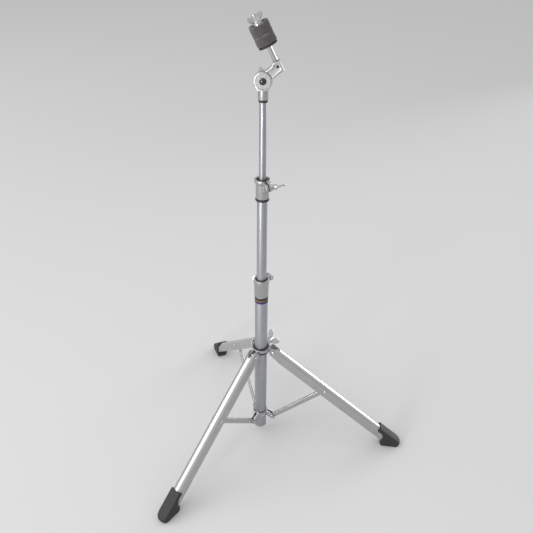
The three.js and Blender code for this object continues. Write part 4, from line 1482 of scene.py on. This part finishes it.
@dataclass
class Tilter:
    """The toothed tilter, in a frame of its own: X to the right of its face, Y to its back."""

    facing: float = -28.0
    disc: float = 15.0
    front: float = 7.5
    back: float = 8.0
    mating: float = 1.45
    rise: float = 31.0
    neck: float = 8.75
    neck_hole: float = 6.65
    neck_depth: float = 13.0
    flare: float = 0.574
    facet: float = 0.53
    pin_hole: float = 3.5
    boss: float = 7.1
    groove: Pair = (12.0, 12.7)
    teeth_reach: Pair = (6.4, 14.2)
    teeth_root: float = 1.6
    tooth: float = 1.3
    tooth_edges: int = 40
    lean: float = 27.2
    rod_offset: float = 31.5
    rod_hole: float = 4.3
    block_half: float = 6.6
    block_top: float = 18.6
    block_bottom: float = 1.0
    block_corner: float = 1.6
    arm_front: float = 7.2
    heel: Pair = (15.3, -4.0)
    throat: Pair = (16.0, 13.0)
    crest: Pair = (8.0, 12.7)
    rim: float = 2.2
    panel: float = 1.4
    socket_floor: float = 4.0
    screw_height: float = 10.6
    screw_radius: float = 2.2
    bolt_shank: float = 3.2
    bolt_head: float = 5.8
    wing_turn: float = -123.0
    ring_radii: Pair = (7.95, 7.85)
    ring_height: float = 3.6

    def head(self) -> Matrix:
        """The frame of the tilter's pivot."""
        return raised(span("tilter_base")[0] + self.rise, self.facing)

    def leaning(self) -> Matrix:
        """The frame that leans with the rod: X across it, Z up it."""
        return self.head() @ spun(-self.lean, "Y")

    def teeth(self, facing_back: bool) -> Form:
        """A ring of radial face teeth round Y.

        Args:
            facing_back: whether the crests point to positive Y.

        Returns:
            The ring.
        """
        ring = Form.sleeve(*self.teeth_reach, -self.teeth_root, 0, self.tooth_edges)
        for vert in ring.bm.verts:
            step = round(math.atan2(vert.co.y, vert.co.x) / math.tau * self.tooth_edges)
            if vert.co.z > -0.1 and step % 2:
                vert.co.z = -self.tooth
        side = -1 if facing_back else 1
        return ring.moved(at(y=-side * SLACK / 2) @ spun(side * -90, "X")).sealed()

    def base(self) -> Form:
        """The lower half: a disc that flares from a round neck.

        Returns:
            The casting, in the pivot's frame.
        """
        disc, neck, front, foot = self.disc, self.neck, self.front, -self.rise
        top, flare = -disc - 2 * SLACK, disc * self.flare
        start = math.degrees(math.atan2(-flare, math.sqrt(disc ** 2 - flare ** 2)))
        face = [(-neck, top), (neck, top), *arc(0, 0, disc, start, 180 - start, 56)]
        ahead, above = -neck - 3, disc + 3
        relief = Form.sawn([(ahead, above), (-front, above), (-front, -disc * self.facet),
                            (-neck, top), (ahead, top)], -30, 30).moved(SWAP_XY).sealed()
        form = Form.sawn(face, -neck, -self.mating).without(relief).eased(
            0.9, 3, 28, lambda e: max(v.co.y for v in e.verts) < -2)
        groove = Form.sleeve(*self.groove, -0.35, 1).moved(at(y=-front) @ spun(90, "X"))
        boss = Form.pin(self.boss, -front - 0.25, -3, steps=56)
        bore, shoulder = self.neck_hole, foot + self.neck_depth
        stem = Form.turned([(0, top + 0.4), (neck, top + 0.4), (neck, foot), (bore, foot),
                            (bore, shoulder), (0, shoulder)], 80)
        stem.eased(1.2, 4, 40, lambda e: all(
            v.co.z < foot + 1 and v.co.xy.length > 8 for v in e.verts))
        form = form.without(groove).with_(boss, stem, self.teeth(True))
        return form.without(Form.pin(self.pin_hole, -neck - 3, 3))

    def arm_casting(self) -> Form:
        """The upper half: a disc behind the base and a thick block round the rod.

        Returns:
            The casting, in the leaning frame.
        """
        right, left = self.rod_offset + self.block_half, self.rod_offset - self.block_half
        low, high = (math.degrees(math.atan2(z, x)) for x, z in (self.heel, self.crest))
        front, top, corner, rim = -self.arm_front, self.block_top, self.block_corner, self.rim
        throat_x, throat_z = self.throat
        outline = [(right, self.block_bottom),
                   *arc(right - corner, top - corner, corner, 0, 90, 5),
                   *arc(left + corner, top - corner, corner, 90, 180, 5),
                   *bezier((left, top - corner), (left, throat_z + corner), self.throat, self.crest,
                           12)[1:],
                   *arc(0, 0, self.disc, high, low + 360, 56)[1:]]
        body = Form.sawn(outline, front, self.back).eased(
            0.9, 3, 50, lambda e: abs(e.verts[0].co.y - e.verts[1].co.y) < 0.1)
        seat = Form.pin(self.disc + 2 * SLACK, front - 3, self.mating, steps=96)
        start, corner_in = self.disc - rim, (left + rim, top - rim)
        hollow = [(start, rim + self.heel[1]), (right - rim, self.block_bottom + rim),
                  (right - rim, top - rim), corner_in,
                  *bezier(corner_in, (left, throat_z + 1), (left, throat_z - rim),
                          (throat_x, throat_z - rim), 8)[1:],
                  (start, self.crest[1] - rim)]
        panel = Form.sawn(hollow, front - 3, self.panel + front).eased(
            0.9, 3, 60, lambda e: all(v.co.y > front for v in e.verts))
        rod = Form.post(self.rod_hole, self.socket_floor, top + 3, 40).moved(at(self.rod_offset))
        screw = Form.pin(self.screw_radius + SLACK, front - 3, 0, self.rod_offset,
                         self.screw_height, 28)
        form = body.without(seat).with_(self.teeth(False))
        return form.without(panel, rod, screw, Form.pin(self.pin_hole, -3, self.back + 3))

    def bolt(self) -> Form:
        """The domed and slotted bolt.

        Returns:
            The bolt, in the pivot's frame.
        """
        shank, head = self.bolt_shank, self.bolt_head
        seat, end = self.front + SLACK, -(self.back + SLACK + 13)
        form = Form.turned([(0, end), (shank, end), (shank, seat), (head, seat),
                            *domed(head, seat + 0.4, 3.0)], 48).moved(spun(90, "X"))
        return form.without(Form.block((-7, -seat - 6, -0.6), (7, -seat - 2.4, 0.6)))

    def screw(self) -> Form:
        """The set screw with its hexagon socket.

        Returns:
            The screw, in the leaning frame.
        """
        front, x, z = self.panel - self.arm_front + SLACK, self.rod_offset, self.screw_height
        body = Form.pin(self.screw_radius, front, -self.rod_hole, x, z, 28).eased(0.3, 2, 60)
        return body.without(Form.pin(1.2, front - 3, front + 1.1, x, z, 6))

    def build(self, bench: Bench) -> None:
        """Makes the tilter's pieces.

        Args:
            bench: where the pieces are made.
        """
        head, leaning, bore = self.head(), self.leaning(), self.neck_hole
        bench.piece("tilter_base_casting", self.base(), head, "top_stage", "tilter_base",
                    Finish.CAST, smooth=30)
        (wide, narrow), high = self.ring_radii, self.ring_height
        ring = Form.turned([(bore, 0), (wide, 0), (narrow, high / 2), (narrow, high),
                            (bore, high)], 80)
        bench.piece("tilter_foot_ring", ring.eased(0.3, 2), raised(span("tilter_ring")[0]),
                    "top_stage", "tilter_ring", Finish.NYLON)
        # Painted reflection: the dome bolt is coloured dark to stand in for the dark surroundings
        # that it reflects.
        bench.piece("tilter_dome_bolt", self.bolt(), head, "top_stage", "tilter_bolt",
                    Finish.BLACK_OXIDE_AND_PAINTED_REFLECTION)
        nut = TALL_WING.form(bore=self.pin_hole)
        nut.moved(at(y=self.back + SLACK) @ spun(self.wing_turn, "Y") @ spun(-90, "X"))
        bench.piece("tilter_nut_cast", nut, head, "tilter_nut", "tilter_wing_nut", Finish.HARDWARE)
        bench.piece("tilter_arm_casting", self.arm_casting(), leaning, "arm", "tilter_arm",
                    Finish.CAST, smooth=30)
        bench.piece("tilter_screw", self.screw(), leaning, "arm", "rod_set_screw", Finish.BLACK_OXIDE_AND_PAINTED_REFLECTION)


@dataclass
class Felt:
    """A pressed felt washer with soft, uneven sides.

    The upper one is pressed into a dish by its nut, and its rim has sagged on one side.
    """

    outer: float = 17.0
    inner: float = 6.3
    height: float = 17.4
    seed: float = 0.0
    foot_edge: float = 0.35
    top_edge: float = 0.35
    dish: float = 0.0
    dish_floor: float = 8.6
    rim: float = 2.4
    sag: float = 0.0
    sag_side: float = -116.0
    notch_side: float = -66.0
    notch_width: float = 13.0

    def blank(self) -> Form:
        """The cut washer, with its edges softened and enough vertices to press.

        Returns:
            The washer, standing on XY.
        """
        inner, r, h = self.inner, self.outer - 0.5, self.height
        form = Form.turned([(inner, 0.05), (r, 0.05), (r, h * 0.35), (r, h * 0.7), (r, h - 0.05),
                            (inner, h - 0.05)], 96)
        for edge, low, high in ((self.foot_edge, 0.0, h / 2), (self.top_edge, h / 2, h)):
            form.eased(edge, 5, 60, lambda e: all(
                v.co.xy.length > 10 and low < v.co.z < high for v in e.verts))
        form.eased(0.9, 3, 60, lambda e: all(v.co.xy.length < 10 for v in e.verts))
        for _ in range(2):
            long_edges = [e for e in form.bm.edges if e.calc_length() > 1.6]
            bmesh.ops.subdivide_edges(form.bm, edges=long_edges, cuts=1, use_grid_fill=True)
        bmesh.ops.recalc_face_normals(form.bm, faces=form.bm.faces)
        form.bm.normal_update()
        return form

    def fall(self, place: Vector) -> float:
        """How far a place on the upper half sinks under the nut and at the sagged rim.

        Args:
            place: a place in the felt's own frame.

        Returns:
            The fall.
        """
        radius, rim = place.xy.length, self.outer - self.rim
        depth = max(0.0, place.z / self.height * 2 - 1) ** 1.5
        share = min(1.0, max(0.0, (rim - radius) / (rim - self.dish_floor)))
        azimuth = math.degrees(math.atan2(place.y, place.x))
        sagged = max(0.0, math.cos(math.radians(azimuth - self.sag_side))) ** 2.4
        notched = math.exp(-((azimuth - self.notch_side) / self.notch_width) ** 2)
        rim_fall = self.sag * (sagged + 0.45 * notched) * (1 - share)
        return depth * (self.dish * share * share * (3 - 2 * share) + rim_fall)

    def form(self) -> Form:
        """The felt, standing on XY.

        Returns:
            The pressed washer.
        """
        form = self.blank()
        moves = []
        for vert in form.bm.verts:
            place = vert.co + Vector((self.seed, self.seed, 0))
            lump = noise.noise(place * 0.11) * 0.5 + noise.noise(place * 0.45) * 0.16
            near_bore = vert.co.xy.length < self.inner + 1
            push = vert.normal * min(lump, 0.45) * (0.25 if near_bore else 1.0)
            push.z *= 0.2
            push.z -= self.fall(vert.co)
            moves.append(push)
        for vert, push in zip(form.bm.verts, moves):
            vert.co += push
            flat = vert.co.xy
            if flat.length > self.outer:
                flat = flat.normalized() * self.outer
            if flat.length < self.inner:
                flat = flat.normalized() * self.inner
            vert.co = (flat.x, flat.y, min(max(vert.co.z, 0), self.height))
        return form


@dataclass
class Rod:
    """The cymbal rod and all that it carries. Heights are measured along the rod."""

    tilter: Tilter
    radius: float = 4.0
    bare: float = 26.0
    shoulder: Pair = (5.6, 1.6)
    washer: float = 2.4
    washer_radius: float = 16.0
    felt_height: float = 17.4
    sleeve: float = 6.0
    pressed: float = 4.0
    skirt: Pair = (6.9, 8.0)
    thread_pitch: float = 1.25
    thread_depth: float = 0.5

    def __post_init__(self) -> None:
        """Stacks the washer and the felts up to the rod's tip."""
        self.seat = self.tilter.block_top + self.bare
        self.lower = self.seat + self.washer + SLACK
        self.upper = self.lower + self.felt_height + SLACK
        self.top = self.upper + self.felt_height
        self.tip = self.top + SLACK + LOW_WING.hub_height + 2

    def rod(self) -> Form:
        """The turned rod, with a shoulder under the washer and a thread over the felts.

        Returns:
            The rod.
        """
        r, bottom, top, tip = self.radius, self.tilter.socket_floor + SLACK, self.top, self.tip
        (wide, high), seat, pitch = self.shoulder, self.seat - SLACK, self.thread_pitch
        profile = [(0, bottom), (r, bottom), (r, seat - high), (wide, seat - high), (wide, seat),
                   (r, seat), (r, top)]
        for i in range(int((tip - top - 0.8) / pitch)):
            z = top + i * pitch
            profile += [(r, z + 0.25), (r - self.thread_depth, z + 0.62), (r, z + 1.0)]
        profile += [(r, tip - 0.5), (r - 0.6, tip), (0, tip)]
        return Form.turned(profile, 40).eased(0.25, 2, 70)

    def nut(self) -> Form:
        """The top wing nut, with the skirt that presses the upper felt.

        Returns:
            The nut, in its place on the rod.
        """
        bore, low, (neck, wide) = self.sleeve + 0.2, -self.pressed, self.skirt
        skirt = Form.turned([(bore, low), (wide, low), (wide, 0.9 + low), (neck, 0.8), (bore, 0.8)],
                            48).eased(0.3, 2)
        return LOW_WING.form(bore=self.radius + SLACK).with_(skirt).moved(
            at(z=self.top + SLACK) @ spun(45))

    def build(self, bench: Bench) -> None:
        """Makes the rod's pieces on the tilter's leaning frame.

        Args:
            bench: where the pieces are made.
        """
        place, bore = self.tilter.leaning() @ at(self.tilter.rod_offset), self.radius + SLACK
        bench.piece("rod_turned", self.rod(), place, "arm", "cymbal_rod", Finish.HARDWARE,
                    smooth=28)
        cup = Form.sleeve(bore, self.washer_radius, 0, self.washer, 96).eased(0.8, 4, 60)
        bench.piece("seat_cup", cup, place @ at(z=self.seat), "arm", "seat_washer", Finish.NYLON)
        tube = Form.sleeve(bore, self.sleeve, self.lower, self.top - 1, 48).eased(0.3, 2)
        bench.piece("rod_sleeve", tube, place, "arm", "cymbal_sleeve", Finish.NYLON)
        for name, start, body, felt in (
                ("lower", self.lower, "arm", Felt(seed=3.0, foot_edge=2.8)),
                ("upper", self.upper, "felt_on_rod",
                 Felt(seed=41.0, top_edge=1.3, dish=self.pressed, sag=3.4))):
            pad = bench.piece(f"{name}_felt_pressed", felt.form(), place @ at(z=start), body,
                              f"{name}_felt", Finish.FELT, smooth=180)
        bench.piece("top_nut_cast", self.nut(), place, "top_nut", "top_wing_nut", Finish.HARDWARE)


# Studio

@dataclass
class Lamp:
    """A soft area lamp that looks at a target. Its spread is in degrees."""

    name: str
    place: Triple
    size: Pair
    power: float
    target: Triple = (0.0, -0.07, 0.35)
    spread: float = 180.0

    def build(self) -> None:
        """Adds the lamp."""
        data = bpy.data.lights.new(self.name, "AREA")
        data.shape, data.size, data.size_y, data.energy = "RECTANGLE", *self.size, self.power
        data.spread = math.radians(self.spread)
        obj = bpy.data.objects.new(self.name, data)
        obj.location = self.place
        aim = Vector(self.target) - Vector(self.place)
        obj.rotation_euler = aim.to_track_quat("-Z", "Y").to_euler()
        obj.visible_camera = False
        bpy.context.scene.collection.objects.link(obj)


@dataclass
class Studio:
    """Floor, lamps, world and camera."""

    floor_size: float = 15.0
    floor_tone: Colour = (0.62, 0.62, 0.6262, 1)
    horizon_tone: float = 0.52
    zenith_tone: float = 0.84
    zenith_start: float = 0.75
    lens: float = 41.78
    film: float = 36.0
    eye: Triple = (-0.3733, -0.9299, 1.069)
    tilt: float = 57.79
    turn: float = -22.4
    roll: float = 0.78
    lamps: tuple[Lamp, ...] = (
        Lamp("key", (-3.6, 0.5, 3.3), (4.4, 3.2), 100),
        Lamp("low_strip", (-2.4, -1.7, 0.45), (0.5, 1.1), 15, spread=110),
        Lamp("side", (3.3, 0.95, 0.62), (2.2, 1.2), 6, (0.12, -0.14, 0.12), 50),
    )

    def floor(self) -> None:
        """A wide pale floor."""
        bm = bmesh.new()
        bmesh.ops.create_grid(bm, x_segments=1, y_segments=1, size=self.floor_size)
        material = bpy.data.materials.new("floor")
        material.use_nodes = True
        Graph(material.node_tree).feed(material.node_tree.nodes["Principled BSDF"], {
            "Base Color": self.floor_tone, "Roughness": 0.9, "Specular IOR Level": 0.1})
        mesh = Form(bm).mesh("floor")
        mesh.materials.append(material)
        obj = bpy.data.objects.new("floor", mesh)
        bpy.context.scene.collection.objects.link(obj)

    def world(self) -> None:
        """A plain world, pale at the horizon and brighter overhead."""
        world = bpy.data.worlds.new("studio")
        bpy.context.scene.world = world
        world.use_nodes = True
        graph = Graph(world.node_tree)
        height = graph.height(graph.add("ShaderNodeTexCoord").outputs["Generated"])
        tone = graph.remap(height, 0, self.zenith_start, self.horizon_tone, self.zenith_tone)
        graph.feed(world.node_tree.nodes["Background"], {"Strength": tone, "Color": (1, 1, 1, 1)})

    def camera(self) -> None:
        """The camera of the photograph."""
        low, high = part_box("lower_tube")
        data = bpy.data.cameras.new("camera")
        data.lens, data.sensor_width = self.lens, self.film
        obj = bpy.data.objects.new("camera", data)
        eye = Vector(self.eye) + Vector(((low.x + high.x) / 2, (low.y + high.y) / 2, 0))
        obj.matrix_world = at(*eye) @ spun(self.turn) @ spun(self.tilt, "X") @ spun(self.roll)
        bpy.context.scene.collection.objects.link(obj)
        bpy.context.scene.camera = obj

    def build(self) -> None:
        """Sets the studio up."""
        bpy.context.scene.view_settings.view_transform = "Standard"
        self.camera()
        self.floor()
        self.world()
        for lamp in self.lamps:
            lamp.build()


def main() -> None:
    """Builds the studio and the stand, sub-assembly by sub-assembly."""
    logging.basicConfig(level=logging.INFO, format="%(name)s: %(message)s")
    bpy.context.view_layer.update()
    Studio().build()
    bench = Bench(Paintshop().stock())
    tilter = Tilter()
    for assembly in (Tubes(), Tripod(), LOWER_CLAMP, UPPER_CLAMP, ClampTrim(), tilter, Rod(tilter)):
        assembly.build(bench)


if __name__ == "__main__":
    main()
